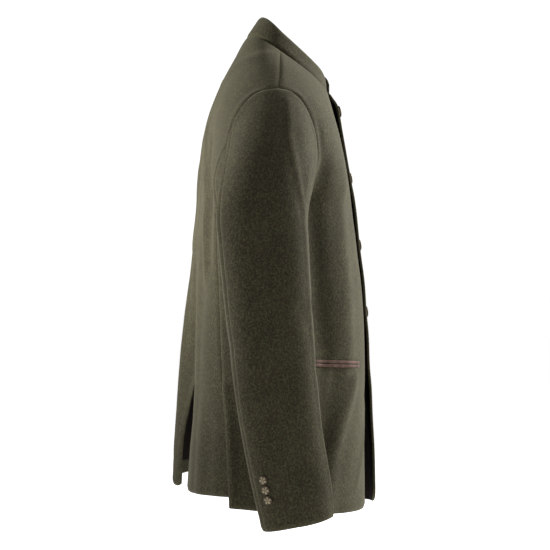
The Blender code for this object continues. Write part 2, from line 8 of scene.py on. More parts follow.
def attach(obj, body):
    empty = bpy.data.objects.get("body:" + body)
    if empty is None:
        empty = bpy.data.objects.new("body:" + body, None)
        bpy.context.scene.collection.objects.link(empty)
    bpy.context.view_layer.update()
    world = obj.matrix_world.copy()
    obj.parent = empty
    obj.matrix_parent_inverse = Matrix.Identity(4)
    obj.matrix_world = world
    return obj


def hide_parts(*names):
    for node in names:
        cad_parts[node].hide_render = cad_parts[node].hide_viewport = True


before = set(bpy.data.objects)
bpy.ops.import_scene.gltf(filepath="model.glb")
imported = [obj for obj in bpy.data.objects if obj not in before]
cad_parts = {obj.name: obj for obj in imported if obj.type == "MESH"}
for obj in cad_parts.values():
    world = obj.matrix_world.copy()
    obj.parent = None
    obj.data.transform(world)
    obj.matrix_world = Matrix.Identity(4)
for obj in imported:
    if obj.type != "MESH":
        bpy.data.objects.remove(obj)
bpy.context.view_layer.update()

# The place the jacket is looked at from: level with its waist, 2.6 m from the
# middle, on the wearer's right and a little behind. A long lens.
VIEW_TURN = radians(7.5)
VIEW_AWAY = 2.6
VIEW_HEIGHT = -0.370
look = Vector((np.cos(VIEW_TURN), -np.sin(VIEW_TURN), 0.0))
lens = bpy.data.cameras.new("View")
lens.lens = 100.08
lens.sensor_width = 36.0
view = bpy.data.objects.new("View", lens)
view.location = -look * VIEW_AWAY + Vector((0.0, 0.0, VIEW_HEIGHT))
view.rotation_mode = "QUATERNION"
view.rotation_quaternion = look.to_track_quat("-Z", "Y")
bpy.context.scene.collection.objects.link(view)
bpy.context.scene.camera = view


# BACK, RIGHT AND LEFT HALF
# Felted wool cloth in olive, 2.4 mm thick, cut in two halves that meet in the
# centre back seam. The seam ends in a vent, where each half has its own edge.
# Heights and depths run down the rows: 0 to 1 along the shoulder seam, 1 to 2
# along the armhole, 2 to 3 down to the hem.
CLOTH = 0.0024
# The rolled edges run this far past the seam line, so that seams stay closed.
SEAM_OVER = 0.0013
VENT_TOP = -0.540
HEM_STEP = 0.0175
VENT_CORNER = 0.006
# Length of the back and of the front between armhole and hem.
BACK_BELOW = 0.475
FRONT_BELOW = 0.499
BACK_LINE = {
    "row":   (0.00, 0.25, 0.50, 0.75, 1.00, 1.25, 1.50, 1.75, 2.00,
              2.12, 2.25, 2.36, 2.48, 2.60, 2.72, 2.86, 3.00),
    "z":     (0.033, 0.014, -0.008, -0.034, -0.064, -0.108, -0.157, -0.207, -0.258,
              -0.315, -0.376, -0.429, -0.485, -0.542, -0.599, -0.665, -0.731),
    "y":     (0.0477, 0.0590, 0.0700, 0.0865, 0.0990, 0.1140, 0.1200, 0.1240, 0.1280,
              0.1335, 0.1360, 0.1370, 0.1385, 0.1400, 0.1420, 0.1470, 0.1510),
    "round": (2.1, 2.2, 2.3, 2.4, 2.4, 2.4, 2.4, 2.5, 2.6,
              2.6, 2.7, 2.8, 2.9, 3.0, 3.0, 3.0, 3.0),
    "fall":  (1.0, 1.2, 1.5, 1.8, 2.0, 1.8, 1.5, 1.2, 1.0,
              1.0, 1.0, 1.0, 1.0, 1.0, 1.0, 1.0, 1.0),
    "turn":  (1.0, 1.0, 1.0, 1.0, 1.0, 0.80, 0.74, 0.82, 1.0,
              1.0, 1.0, 1.0, 1.0, 1.0, 1.0, 1.0, 1.0),
}
SHOULDER_EDGE = {
    "row": (0.00, 0.33, 0.67, 1.00),
    "x":   (0.085, 0.1330, 0.1820, 0.2300),
    "y":   (0.002, 0.0090, 0.0160, 0.0250),
    "z":   (0.000, -0.0225, -0.0490, -0.0800),
}
BACK_EDGE = {
    "row": (1.00, 1.15, 1.30, 1.45, 1.60, 1.75, 1.88, 2.00),
    "x":   (0.230, 0.2285, 0.2250, 0.2190, 0.2120, 0.2060, 0.2015, 0.1990),
    "y":   (0.025, 0.0500, 0.0720, 0.0910, 0.1020, 0.1000, 0.0780, 0.0400),
    "z":   (-0.080, -0.0835, -0.0970, -0.1250, -0.1650, -0.2050, -0.2400, -0.2560),
}
SIDE_EDGE = {
    "row": (2.00, 2.30, 2.60, 3.00),
    "x":   (0.199, 0.198, 0.202, 0.206),
    "y":   (0.040, 0.034, 0.028, 0.022),
    "z":   (-0.256, -0.4015, -0.547, -0.741),
}
SEAM_ROW = 1.60
BACK_SEAM = {
    "row":   (1.60, 1.70, 1.80, 1.90, 2.00, 2.12, 2.25, 2.50, 2.75, 3.00),
    "share": (1.00, 0.83, 0.70, 0.625, 0.585, 0.600, 0.630, 0.662, 0.705, 0.728),
}
SEAT = {
    "z":      (-0.760, -0.700, -0.640, -0.580, -0.520, -0.460, -0.400, -0.340, -0.280, -0.200),
    "hollow": (0.000, 0.001, 0.002, 0.003, 0.005, 0.006, 0.004, 0.002, 0.000, 0.000),
    "bulge":  (0.0200, 0.0200, 0.0200, 0.0200, 0.0180, 0.0140, 0.0090, 0.0045, 0.0015, 0.000),
}
HOLLOW_WIDTH = 0.035
# Across the left half the bulge rises and falls again between these distances
# from the middle, and the lift along the vent dies away between the next two.
BULGE_SPAN = (0.004, 0.060, 0.105, 0.190)
VENT_LIFT_SPAN = (0.020, 0.075)
# Points of a row crowd towards the middle line, where it bends most.
CROWDING = 1.35
# Points of a front's row that lie past the middle line, under the lap.
PAST_MIDDLE = 16
# The edge of the left half is lifted along the vent.
VENT_LIFT = {
    "z":    (-0.760, -0.716, -0.666, -0.633, -0.583, -0.540, -0.500),
    "lift": (0.0000, 0.0020, 0.0080, 0.0100, 0.0066, 0.0000, 0.0000),
}
VENT = {
    "z":     (-0.760, -0.700, -0.640, -0.580, -0.540),
    "right": (0.011, 0.008, 0.005, 0.002, 0.0002),
    "left":  (0.032, 0.026, 0.016, 0.006, 0.0002),
}
# Soft folds of the back: where each one starts and ends, as the distance from
# the centre back seam and the height, its half width, and how far it stands
# out (or falls in, below zero).
BACK_FOLDS_RIGHT = {
    "from_away": (0.022, 0.068, 0.090, 0.108, 0.058, 0.040,
                  0.085, 0.050, 0.020, 0.110, 0.150),
    "from_z":    (-0.128, -0.205, -0.150, -0.235, -0.034, -0.012,
                  -0.340, -0.400, -0.330, -0.480, -0.620),
    "to_away":   (0.070, 0.100, 0.112, 0.122, 0.134, 0.118,
                  0.112, 0.075, 0.024, 0.128, 0.165),
    "to_z":      (-0.215, -0.355, -0.240, -0.350, -0.012, 0.000,
                  -0.560, -0.700, -0.520, -0.740, -0.740),
    "width":     (0.013, 0.014, 0.014, 0.015, 0.011, 0.012,
                  0.022, 0.026, 0.012, 0.022, 0.016),
    "height":    (0.0042, 0.0040, -0.0038, -0.0042, 0.0018, -0.0018,
                  -0.0026, 0.0024, 0.0018, 0.0024, -0.0018),
}
BACK_FOLDS_LEFT = {
    "from_away": (0.030, 0.076, 0.098, 0.118, 0.060, 0.044, 0.090, 0.062, 0.022, 0.120),
    "from_z":    (-0.140, -0.190, -0.165, -0.215, -0.036, -0.014, -0.360, -0.430, -0.350, -0.500),
    "to_away":   (0.080, 0.094, 0.118, 0.126, 0.130, 0.116, 0.118, 0.085, 0.028, 0.140),
    "to_z":      (-0.230, -0.320, -0.260, -0.370, -0.014, -0.002, -0.590, -0.690, -0.500, -0.730),
    "width":     (0.014, 0.013, 0.013, 0.017, 0.012, 0.012, 0.024, 0.022, 0.013, 0.020),
    "height":    (0.0026, 0.0030, -0.0030, -0.0036, 0.0018, -0.0018, -0.0030, 0.0020, 0.0016, 0.0020),
}
# Below this height the front laps over the back, which runs on under it.
LAP_TOP = -0.525
LAP_WIDTH = 0.0075
LAP_RAISE = 0.0027
LAP_RUN_IN = 0.03


def smooth(table, key, column, at):
    """Cubic curve through one column of a table."""
    xs = np.asarray(table[key], float)
    ys = np.asarray(table[column], float)
    at = np.clip(np.asarray(at, float), xs[0], xs[-1])
    step = np.diff(xs)
    slope = np.diff(ys) / step
    tangent = np.empty_like(ys)
    tangent[0] = slope[0]
    tangent[-1] = slope[-1]
    tangent[1:-1] = (step[1:] * slope[:-1] + step[:-1] * slope[1:]) / (step[1:] + step[:-1])
    k = np.clip(np.searchsorted(xs, at, side="right") - 1, 0, len(xs) - 2)
    t = (at - xs[k]) / step[k]
    a = (2 * t**3 - 3 * t**2 + 1) * ys[k]
    b = (t**3 - 2 * t**2 + t) * step[k] * tangent[k]
    c = (-2 * t**3 + 3 * t**2) * ys[k + 1]
    d = (t**3 - t**2) * step[k] * tangent[k + 1]
    return a + b + c + d


def ease(value, low, high):
    t = np.clip((value - low) / (high - low), 0.0, 1.0)
    return t * t * (3 - 2 * t)


def edge_point(part, row):
    """Outer end of a row: shoulder seam, armhole or side."""
    table = BACK_EDGE if part == "back" else FRONT_EDGE
    if row <= 1.0:
        table = SHOULDER_EDGE
    elif row >= 2.0:
        table = SIDE_EDGE
    return np.array([float(smooth(table, "row", c, row)) for c in "xyz"])


def row_curve(part, side, row, count=160):
    """Dense points of one row from the middle line to the outer edge, with x
    counted from the middle towards the side of the panel."""
    line = BACK_LINE if part == "back" else FRONT_LINE
    z0 = float(smooth(line, "row", "z", row))
    y0 = float(smooth(line, "row", "y", row))
    power = 2.0 / float(smooth(line, "row", "round", row))
    fall = float(smooth(line, "row", "fall", row))
    end = edge_point(part, row)
    turn = min(float(smooth(line, "row", "turn", row)), 1.0) * pi / 2
    wide = np.sin(turn) ** power
    deep = 1.0 - max(np.cos(turn), 0.0) ** power
    angle = np.linspace(0.0, 1.0, count) ** CROWDING * turn
    x = end[0] * np.sin(angle) ** power / wide
    g = (1.0 - np.cos(angle).clip(0.0) ** power) / deep
    g[-1] = 1.0
    if part == "front":
        lead = np.linspace(-0.030, -0.001, PAST_MIDDLE)
        n = 2.0 / power
        g_lead = (1.0 - (1.0 - np.abs(lead / end[0] * wide) ** n) ** (1.0 / n)) / deep
        x = np.concatenate([lead, x])
        g = np.concatenate([g_lead, g])
    y = y0 + (end[1] - y0) * g
    z = z0 + (end[2] - z0) * (1.0 - (1.0 - g) ** fall)
    if part == "back":
        y = y - smooth(SEAT, "z", "hollow", z) * np.exp(-(x / HOLLOW_WIDTH) ** 2)
        if side > 0:
            bulge = smooth(SEAT, "z", "bulge", z)
            y = y + bulge * ease(x, *BULGE_SPAN[:2]) * (1 - ease(x, *BULGE_SPAN[2:]))
            y = y + smooth(VENT_LIFT, "z", "lift", z) * (1 - ease(x, *VENT_LIFT_SPAN))
    elif side > 0:
        y = y - smooth(STANDOFF, "z", "off", z) * (1 - ease(x, *STANDOFF_SPAN))
    return np.stack([x, y, z], axis=1)


def body_row(part, side, row, columns):
    """Points of one row at distances from the middle line."""
    pts = row_curve(part, side, row)
    step = np.linalg.norm(np.diff(pts, axis=0), axis=1)
    arc = np.concatenate([[0.0], np.cumsum(step)])
    if part == "front":
        arc = arc - arc[PAST_MIDDLE]
    away = columns(row, arc[-1])
    return np.stack([np.interp(away, arc, pts[:, k]) for k in range(3)], axis=1), away


def own_rows(kind, row, away):
    """Row on which each column really lies: the back is shorter at the side
    seam, and the corners of vent and front are round."""
    own = np.full(len(away), float(row))
    low = max(row - 2.0, 0.0)
    if kind == "back panel":
        share = (away - away[0]) / (away[-1] - away[0])
        rise = HEM_STEP * share + VENT_CORNER * (1 - np.clip(share / 0.08, 0.0, 1.0)) ** 2
        own -= rise / BACK_BELOW * low**4
    if kind == "front":
        past = np.clip(-away, 0.0, OVERLAP) / OVERLAP
        own += TOP_CORNER_DROP / NECK_TO_ARMHOLE * past**1.6 * max(1.0 - row / 1.25, 0.0)
        from_edge = CORNER_RADIUS - np.clip(away + OVERLAP, 0.0, CORNER_RADIUS)
        rise = CORNER_RADIUS - np.sqrt(CORNER_RADIUS**2 - from_edge**2)
        own -= 0.85 * rise / FRONT_BELOW * low**5
    return own


def body_grid(kind, side, rows, columns):
    """Points of a panel and their distances from the middle line."""
    part = kind.split()[0]
    grid = []
    distances = []
    for row in rows:
        p, away = body_row(part, side, row, columns)
        own = own_rows(kind, row, away)
        for j in np.nonzero(np.abs(own - row) > 1e-7)[0]:
            p[j] = body_row(part, side, own[j], columns)[0][j]
        p[:, 0] *= side
        grid.append(p)
        distances.append(away)
    return soften(np.array(grid), np.asarray(rows)), np.array(distances)


SOFTEN_ROWS = 0.34
SOFTEN_FROM_END = 0.030
SOFTEN_STEPS = 60


def soften(grid, rows):
    """Rows near the shoulder point run on smoothly, their outer ends kept."""
    if len(rows) < 3 or rows[0] > 0.5:
        return grid
    share = np.exp(-((rows - 1.0) / SOFTEN_ROWS) ** 2)[1:-1, None, None]
    from_end = np.linalg.norm(grid - grid[:, -1:], axis=2)
    from_end = ease(from_end, 0.0, SOFTEN_FROM_END)[1:-1, :, None]
    for step in range(SOFTEN_STEPS):
        middle = (grid[2:] + grid[:-2]) / 2
        grid[1:-1] += 0.5 * share * from_end * (middle - grid[1:-1])
    return grid


def close_set(start, end, count, margin=0.0030):
    """Distances with one narrow step at each edge, where the cloth is rolled."""
    margin = min(margin, (end - start) / 4)
    middle = np.linspace(start + margin, end - margin, count - 1)
    return np.concatenate([[start], middle, [end]])


def vent_edge(side, row):
    z = float(smooth(BACK_LINE, "row", "z", row))
    if z >= VENT_TOP:
        return 0.0
    return float(smooth(VENT, "z", "left" if side > 0 else "right", z))


def seam_share(row):
    return 1.0 if row <= SEAM_ROW else float(smooth(BACK_SEAM, "row", "share", row))


def lap(row):
    """How far the back runs on under the front below the seam's end."""
    z = float(smooth(BACK_LINE, "row", "z", row))
    return LAP_WIDTH * float(ease(-z, -LAP_TOP, -LAP_TOP + LAP_RUN_IN))


# Steps along the shoulder seam, along the armhole and down to the hem.
ROW_STEPS = (16, 40, 100)


def body_rows():
    spans = [np.linspace(k, k + 1, steps + 1)[:-1] for k, steps in enumerate(ROW_STEPS)]
    return np.concatenate(spans + [[3.0]])


FOLD_JOIN = 5


def fold_relief(folds, away, z, stretch=1.0):
    """Height of all folds of a table over the smooth cloth. Each one starts and
    ends softly, folds that meet run into each other without adding up, and
    turns are brought to lengths with stretch."""
    crest = np.zeros_like(z)
    trough = np.zeros_like(z)
    for a0, z0, a1, z1, width, height in zip(*[folds[k] for k in folds]):
        along_a = (a1 - a0) * stretch
        along_z = z1 - z0
        length = np.hypot(along_a, along_z)
        da = (away - a0) * stretch
        dz = z - z0
        t = (da * along_a + dz * along_z) / length**2
        across = (da * along_z - dz * along_a) / length
        rise = np.exp(-(across / width) ** 2) * ease(t, -0.3, 0.05) * (1 - ease(t, 0.95, 1.3))
        crest += (max(height, 0.0) * rise) ** FOLD_JOIN
        trough += (max(-height, 0.0) * rise) ** FOLD_JOIN
    return crest ** (1 / FOLD_JOIN) - trough ** (1 / FOLD_JOIN)


WAVE_TALL = 0.0011
DENT_TALL = 0.0003


def ripple(points):
    """Slight unevenness of worn wool: long shallow waves and small dents."""
    out = np.empty(len(points))
    for k, p in enumerate(points):
        long_wave = unevenness.noise(Vector((p[0] * 14, p[1] * 14, p[2] * 5)))
        dent = unevenness.noise(Vector((p[0] * 42 + 7, p[1] * 42, p[2] * 30)))
        out[k] = WAVE_TALL * long_wave + DENT_TALL * dent
    return out


def weld(grids, values):
    """Join grids that share edges into points, one value each, and faces."""
    index = {}
    points = []
    kept = []
    faces = []
    for grid, value in zip(grids, values):
        ids = np.empty(grid.shape[:2], int)
        for i in range(grid.shape[0]):
            for j in range(grid.shape[1]):
                key = tuple(np.round(grid[i, j] * 2e5).astype(int))
                if key not in index:
                    index[key] = len(points)
                    points.append(grid[i, j])
                    kept.append(value[i, j])
                ids[i, j] = index[key]
        for i in range(grid.shape[0] - 1):
            for j in range(grid.shape[1] - 1):
                corners = [ids[i, j], ids[i + 1, j], ids[i + 1, j + 1], ids[i, j + 1]]
                face = [v for k, v in enumerate(corners) if v not in corners[:k]]
                if len(face) > 2:
                    faces.append(face + face[-1:] * (4 - len(face)))
    return np.array(points), np.array(kept), np.array(faces)


def point_normals(points, faces):
    a, b, c, d = (points[faces[:, k]] for k in range(4))
    n = np.cross(c - a, d - b)
    total = np.zeros_like(points)
    for k in range(4):
        np.add.at(total, faces[:, k], n)
    return total / np.linalg.norm(total, axis=1)[:, None]


def look_away(points, faces, inside):
    """Faces turned so that they look away from the points inside."""
    n = point_normals(points, faces)
    return faces[:, ::-1].copy() if np.sum(n * (points - inside)) < 0 else faces


def border(faces):
    """Edges of the cut, in the direction of their face, and the faces."""
    sides = []
    for number, face in enumerate(faces):
        corners = [int(v) for k, v in enumerate(face) if v not in face[:k]]
        for a, b in zip(corners, corners[1:] + corners[:1]):
            sides.append((a, b, number))
    seen = {(a, b) for a, b, number in sides}
    return [(a, b, number) for a, b, number in sides if (b, a) not in seen]


def edge_distance(points, edges):
    """Distance of every point from the cut edge of its piece."""
    ends = sorted({v for a, b, number in edges for v in (a, b)})
    tree = kdtree.KDTree(len(ends))
    for k, v in enumerate(ends):
        tree.insert(points[v], k)
    tree.balance()
    return np.array([tree.find(p)[2] for p in points])


SEAM_CALM = 0.020
SEAM_SUNK = 0.0011
SEAM_WIDTH = 0.0021
ALLOWANCE_PROUD = 0.0006
ALLOWANCE_AT = 0.0065
ALLOWANCE_WIDTH = 0.0042


def at_seams(points, edges, free):
    """0 on the sewn edges, 1 away from them; free tells the open edges."""
    sewn = [edge for edge in edges if not free(points[edge[0]])]
    return ease(edge_distance(points, sewn), 0.0, SEAM_CALM)


def seam_relief(distance, proud=0.0):
    """Cloth sinks into a seam, and stands up a little beside it where the
    allowance lies underneath."""
    sunk = np.exp(-(distance / SEAM_WIDTH) ** 2)
    beside = np.exp(-((distance - ALLOWANCE_AT) / ALLOWANCE_WIDTH) ** 2)
    return -SEAM_SUNK * sunk + (ALLOWANCE_PROUD + proud) * beside


EDGE_WEAR_WIDTH = 0.0045
# The outer cloth is turned in this far along hem and vent, and at the cuff.
TURNED_IN = 0.022
CUFF_TURNED_IN = 0.030
# Points below this height lie in the zone of the hem and the cuffs.
HEM_ZONE = -0.70


def cloth_shell(name, points, faces, relief, wall, outside, inside, turned_in, free):
    """A cut piece of cloth as a thin body with rolled edges. The inner face is
    lined, apart from a margin along the open edges, where the outer cloth is
    turned in. The near-black lining of the panels and sleeves is partly painted shade."""
    edges = border(faces)
    to_open = edge_distance(points, [edge for edge in edges if free(points[edge[0]])])
    points = points + point_normals(points, faces) * relief[:, None]
    normals = point_normals(points, faces)
    pull = np.zeros_like(points)
    for a, b, number in edges:
        along = points[b] - points[a]
        along /= np.linalg.norm(along)
        inner = points[faces[number]].mean(axis=0) - (points[a] + points[b]) / 2
        inner -= along * np.dot(inner, along)
        inner /= np.linalg.norm(inner)
        pull[a] += inner
        pull[b] += inner
    rim = sorted({v for a, b, number in edges for v in (a, b)})
    size = np.linalg.norm(pull[rim], axis=1)
    inward = pull[rim] / size[:, None]
    reach = np.clip(2.0 / size, 1.0, 2.5)
    half = wall[rim] / 2
    move = np.zeros_like(points)
    move[rim] = inward * ((half - SEAM_OVER) * reach)[:, None]
    near = edge_distance(points, edges)
    outer = points + move
    inner = points - normals * wall[:, None] + move
    middle = (outer[rim] + inner[rim]) / 2
    rings = []
    for angle in (pi / 5, pi / 2, 4 * pi / 5):
        up = normals[rim] * (half * np.cos(angle))[:, None]
        rings.append(middle + up - inward * (half * reach * np.sin(angle))[:, None])
    count = len(points)
    place = {v: k for k, v in enumerate(rim)}
    every = [[int(v) for k, v in enumerate(face) if v not in face[:k]] for face in faces]
    body = every + [[v + count for v in face[::-1]] for face in every]
    slots = [0] * len(every) + [int(to_open[face].mean() > turned_in) for face in every]
    for a, b, number in edges:
        ladder_a = [a] + [2 * count + r * len(rim) + place[a] for r in range(3)] + [a + count]
        ladder_b = [b] + [2 * count + r * len(rim) + place[b] for r in range(3)] + [b + count]
        for r in range(4):
            body.append([ladder_b[r], ladder_a[r], ladder_a[r + 1], ladder_b[r + 1]])
            slots.append(0)
    mesh = bpy.data.meshes.new(name)
    corners = np.vstack([outer, inner] + rings)
    mesh.from_pydata([tuple(float(c) for c in p) for p in corners], [], body)
    mesh.materials.append(outside)
    mesh.materials.append(inside)
    mesh.polygons.foreach_set("material_index", slots)
    mesh.polygons.foreach_set("use_smooth", [True] * len(body))
    worn = mesh.attributes.new("edge_wear", "FLOAT", "POINT")
    wear = np.exp(-(near / EDGE_WEAR_WIDTH) ** 2)
    wear = np.concatenate([wear, wear] + [np.ones(len(rim))] * 3)
    worn.data.foreach_set("value", wear.astype(np.float32))
    mesh.update()
    piece = bpy.data.objects.new(name, mesh)
    bpy.context.scene.collection.objects.link(piece)
    return piece


class Thread:
    """One output of a shader node. Sums and products add Math nodes."""

    def __init__(self, tree, socket=None):
        self.tree = tree
        self.socket = socket

    def node(self, kind, settings, sockets, output=0):
        made = self.tree.nodes.new(kind)
        for key, value in settings.items():
            if key == "stops":
                for k, (at, colour) in enumerate(value):
                    ramp = made.color_ramp.elements
                    stop = ramp[k] if k < 2 else ramp.new(at)
                    stop.position = at
                    stop.color = colour
            else:
                setattr(made, key, value)
        for key, value in sockets.items():
            if isinstance(value, Thread):
                self.tree.links.new(value.socket, made.inputs[key])
            else:
                made.inputs[key].default_value = value
        return Thread(self.tree, made.outputs[output])

    def sum(self, operation, first, second):
        return self.node("ShaderNodeMath", {"operation": operation}, {0: first, 1: second})

    def __add__(self, other):
        return self.sum("ADD", self, other)

    def __radd__(self, other):
        return self.sum("ADD", other, self)

    def __sub__(self, other):
        return self.sum("SUBTRACT", self, other)

    def __rsub__(self, other):
        return self.sum("SUBTRACT", other, self)

    def __mul__(self, other):
        return self.sum("MULTIPLY", self, other)

    def __rmul__(self, other):
        return self.sum("MULTIPLY", other, self)

    def between(self, low, high):
        """0 at low, 1 at high, with a soft step."""
        sockets = {"Value": self, "From Min": low, "From Max": high}
        return self.node("ShaderNodeMapRange", {"interpolation_type": "SMOOTHSTEP"}, sockets)

    def mix(self, first, second):
        """First colour where this is 0, second where it is 1."""
        return self.node("ShaderNodeMix", {"data_type": "RGBA"}, {0: self, 6: first, 7: second}, 2)


def new_finish(name, constants):
    """Material with its fixed values set, a thread to start from, and the
    place on the piece in metres."""
    finish = bpy.data.materials.new(name)
    finish.use_nodes = True
    shader = finish.node_tree.nodes["Principled BSDF"]
    for key, value in constants.items():
        shader.inputs[key].default_value = value
    start = Thread(finish.node_tree)
    place = start.node("ShaderNodeTexCoord", {}, {}, "Object")
    return finish, shader, start, place


def join(start, value, shader, name):
    start.tree.links.new(value.socket, shader.inputs[name])


def grain(start, place, size, detail=2.0, scale=(1.0, 1.0, 1.0)):
    """Noise with grains of about that size in metres."""
    if scale != (1.0, 1.0, 1.0):
        place = start.node("ShaderNodeMapping", {}, {"Vector": place, "Scale": scale})
    sockets = {"Vector": place, "Scale": 0.5 / size, "Detail": detail}
    return start.node("ShaderNodeTexNoise", {}, sockets)


OLIVE_DARK = (0.0145, 0.0138, 0.0070, 1.0)
OLIVE_LIGHT = (0.0520, 0.0490, 0.0255, 1.0)
FIBRE_PALE = (0.1100, 0.0980, 0.0580, 1.0)
FIBRE_BROWN = (0.0260, 0.0185, 0.0135, 1.0)


def olive_loden():
    """Wool milled until its weave closes: an olive mixture of dark and pale
    fibres, a short nap brushed downwards, and rubbed edges."""
    constants = {"Sheen Weight": 0.09, "Sheen Roughness": 0.45, "Specular IOR Level": 0.12,
                 "Sheen Tint": (0.80, 0.74, 0.52, 1.0)}
    finish, shader, start, place = new_finish("Olive_Loden", constants)
    milled = grain(start, place, 0.0013, 3.0)
    heather = grain(start, place, 0.0024, 3.0, (1.0, 1.0, 0.7))
    cloudy = grain(start, place, 0.035, 2.0)
    down_nap = grain(start, place, 0.0007, 2.0, (1.0, 1.0, 0.28))
    cross_nap = grain(start, place, 0.0008, 2.0, (0.35, 0.35, 1.3))
    tone = milled.between(0.32, 0.68) * 0.8 + cloudy.between(0.3, 0.7) * 0.2
    colour = tone.mix(OLIVE_DARK, OLIVE_LIGHT)
    colour = (heather.between(0.46, 0.62) * 0.60).mix(colour, FIBRE_BROWN)
    colour = (down_nap.between(0.56, 0.74) * 0.30).mix(colour, FIBRE_PALE)
    colour = (cross_nap.between(0.58, 0.76) * 0.30).mix(colour, FIBRE_BROWN)
    rubbed = start.node("ShaderNodeAttribute", {"attribute_name": "edge_wear"}, {}, "Fac")
    colour = (rubbed * 0.10).mix(colour, FIBRE_PALE)
    join(start, colour, shader, "Base Color")
    join(start, 0.98 - milled * 0.10, shader, "Roughness")
    height = milled * 0.5 + down_nap * 0.35 + cross_nap * 0.15
    bump = start.node("ShaderNodeBump", {}, {"Strength": 0.55, "Distance": 0.0004, "Height": height})
    join(start, bump, shader, "Normal")
    return finish


# Near-black lining colours: partly the lining's own brown, darkened so far that they are also painted
# shade for the inside of the jacket.
LINING_BROWN_PAINTED_SHADE = (0.0052, 0.0040, 0.0032, 1.0)
LINING_SHINE_PAINTED_SHADE = (0.0095, 0.0073, 0.0058, 1.0)


def lining_with_painted_shade():
    """Near-black brown twill lining, seen inside the front edge and the vent; partly the lining's own
    brown, partly painted shade for the shadow inside the jacket.
    """
    finish, shader, start, place = new_finish("Brown_Lining_Painted_Shade", {"Specular IOR Level": 0.04})
    twill = start.node("ShaderNodeTexWave", {"bands_direction": "DIAGONAL"},
                       {"Vector": place, "Scale": 420.0, "Distortion": 0.6, "Detail": 1.0})
    cloudy = grain(start, place, 0.018)
    join(start, (twill * 0.6 + cloudy * 0.4).mix(LINING_BROWN_PAINTED_SHADE, LINING_SHINE_PAINTED_SHADE), shader, "Base Color")
    join(start, 0.72 + cloudy * 0.2, shader, "Roughness")
    bump = start.node("ShaderNodeBump", {}, {"Strength": 0.3, "Distance": 0.0002, "Height": twill})
    join(start, bump, shader, "Normal")
    return finish


loden = olive_loden()
lining_and_painted_shade = lining_with_painted_shade()
# A line up the middle of the body that every panel faces away from.
BODY_MIDDLE = [0.0, 0.03, 0.0]
for side, word, folds in ((-1, "Right", BACK_FOLDS_RIGHT), (1, "Left", BACK_FOLDS_LEFT)):
    def back_columns(row, length, side=side):
        end = min(seam_share(row) * length + lap(row), length)
        return close_set(vent_edge(side, row), end, 44)

    grid, away = body_grid("back panel", side, body_rows(), back_columns)
    points, away, faces = weld([grid], [away])
    faces = look_away(points, faces, points * [0, 0, 1] + BODY_MIDDLE)
    edges = border(faces)
    near = edge_distance(points, edges)

    def free(p):
        return p[2] < HEM_ZONE or (p[2] < VENT_TOP and abs(p[0]) < 0.04)

    held = at_seams(points, edges, free)
    relief = fold_relief(folds, away, points[:, 2]) * held + ripple(points) * held
    relief += seam_relief(near)
    back = cloth_shell("Back_%s_Cloth" % word, points, faces, relief, np.full(len(points), CLOTH),
                       loden, lining_and_painted_shade, TURNED_IN, free)
    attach(back, "root")
    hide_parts("Back_" + word)


# FRONTS, RIGHT AND LEFT
# The same olive cloth, each front cut in one with the side of the body as far
# as the seam behind the sleeve, where its lower end laps over the back. The
# front edges are doubled by a facing, and the left one buttons over the right.
EDGE_CLOTH = 0.0046
# From flat and doubled at the front edge to plain cloth, as distances from it.
CALM_SPAN = (0.010, 0.035)
DOUBLED_SPAN = (0.010, 0.026)
OVERLAP = 0.020
CORNER_RADIUS = 0.028
TOP_CORNER_DROP = 0.018
# Height that the first row span covers at the middle of the front.
NECK_TO_ARMHOLE = 0.044
FRONT_LINE = {
    "row":   (0.00, 0.25, 0.50, 0.75, 1.00, 1.25, 1.50, 1.75, 2.00,
              2.14, 2.28, 2.42, 2.56, 2.70, 2.85, 3.00),
    "z":     (-0.060, -0.070, -0.081, -0.092, -0.104, -0.138, -0.176, -0.216, -0.258,
              -0.328, -0.398, -0.468, -0.538, -0.607, -0.682, -0.757),
    "y":     (-0.0880, -0.0905, -0.0935, -0.0960, -0.0985, -0.1065, -0.1135, -0.1205, -0.1275,
              -0.1365, -0.1450, -0.1488, -0.1500, -0.1485, -0.1500, -0.1500),
    "round": (2.0, 1.9, 1.8, 1.75, 1.7, 1.8, 1.9, 2.0, 2.1, 2.1, 2.1, 2.1, 2.1, 2.1, 2.1, 2.1),
    "fall":  (1.0, 1.2, 1.5, 1.8, 2.0, 1.8, 1.5, 1.2, 1.0, 1.0, 1.0, 1.0, 1.0, 1.0, 1.0, 1.0),
    "turn":  (1.0, 1.0, 1.0, 1.0, 1.0, 0.82, 0.76, 0.84, 1.0, 1.0, 1.0, 1.0, 1.0, 1.0, 1.0, 1.0),
}
FRONT_EDGE = {
    "row": (1.00, 1.15, 1.30, 1.45, 1.60, 1.75, 1.88, 2.00),
    "x":   (0.230, 0.2285, 0.2250, 0.2190, 0.2130, 0.2070, 0.2020, 0.1990),
    "y":   (0.025, 0.0040, -0.0125, -0.0270, -0.0365, -0.0345, -0.0120, 0.0400),
    "z":   (-0.080, -0.0845, -0.0990, -0.1250, -0.1580, -0.1960, -0.2350, -0.2560),
}
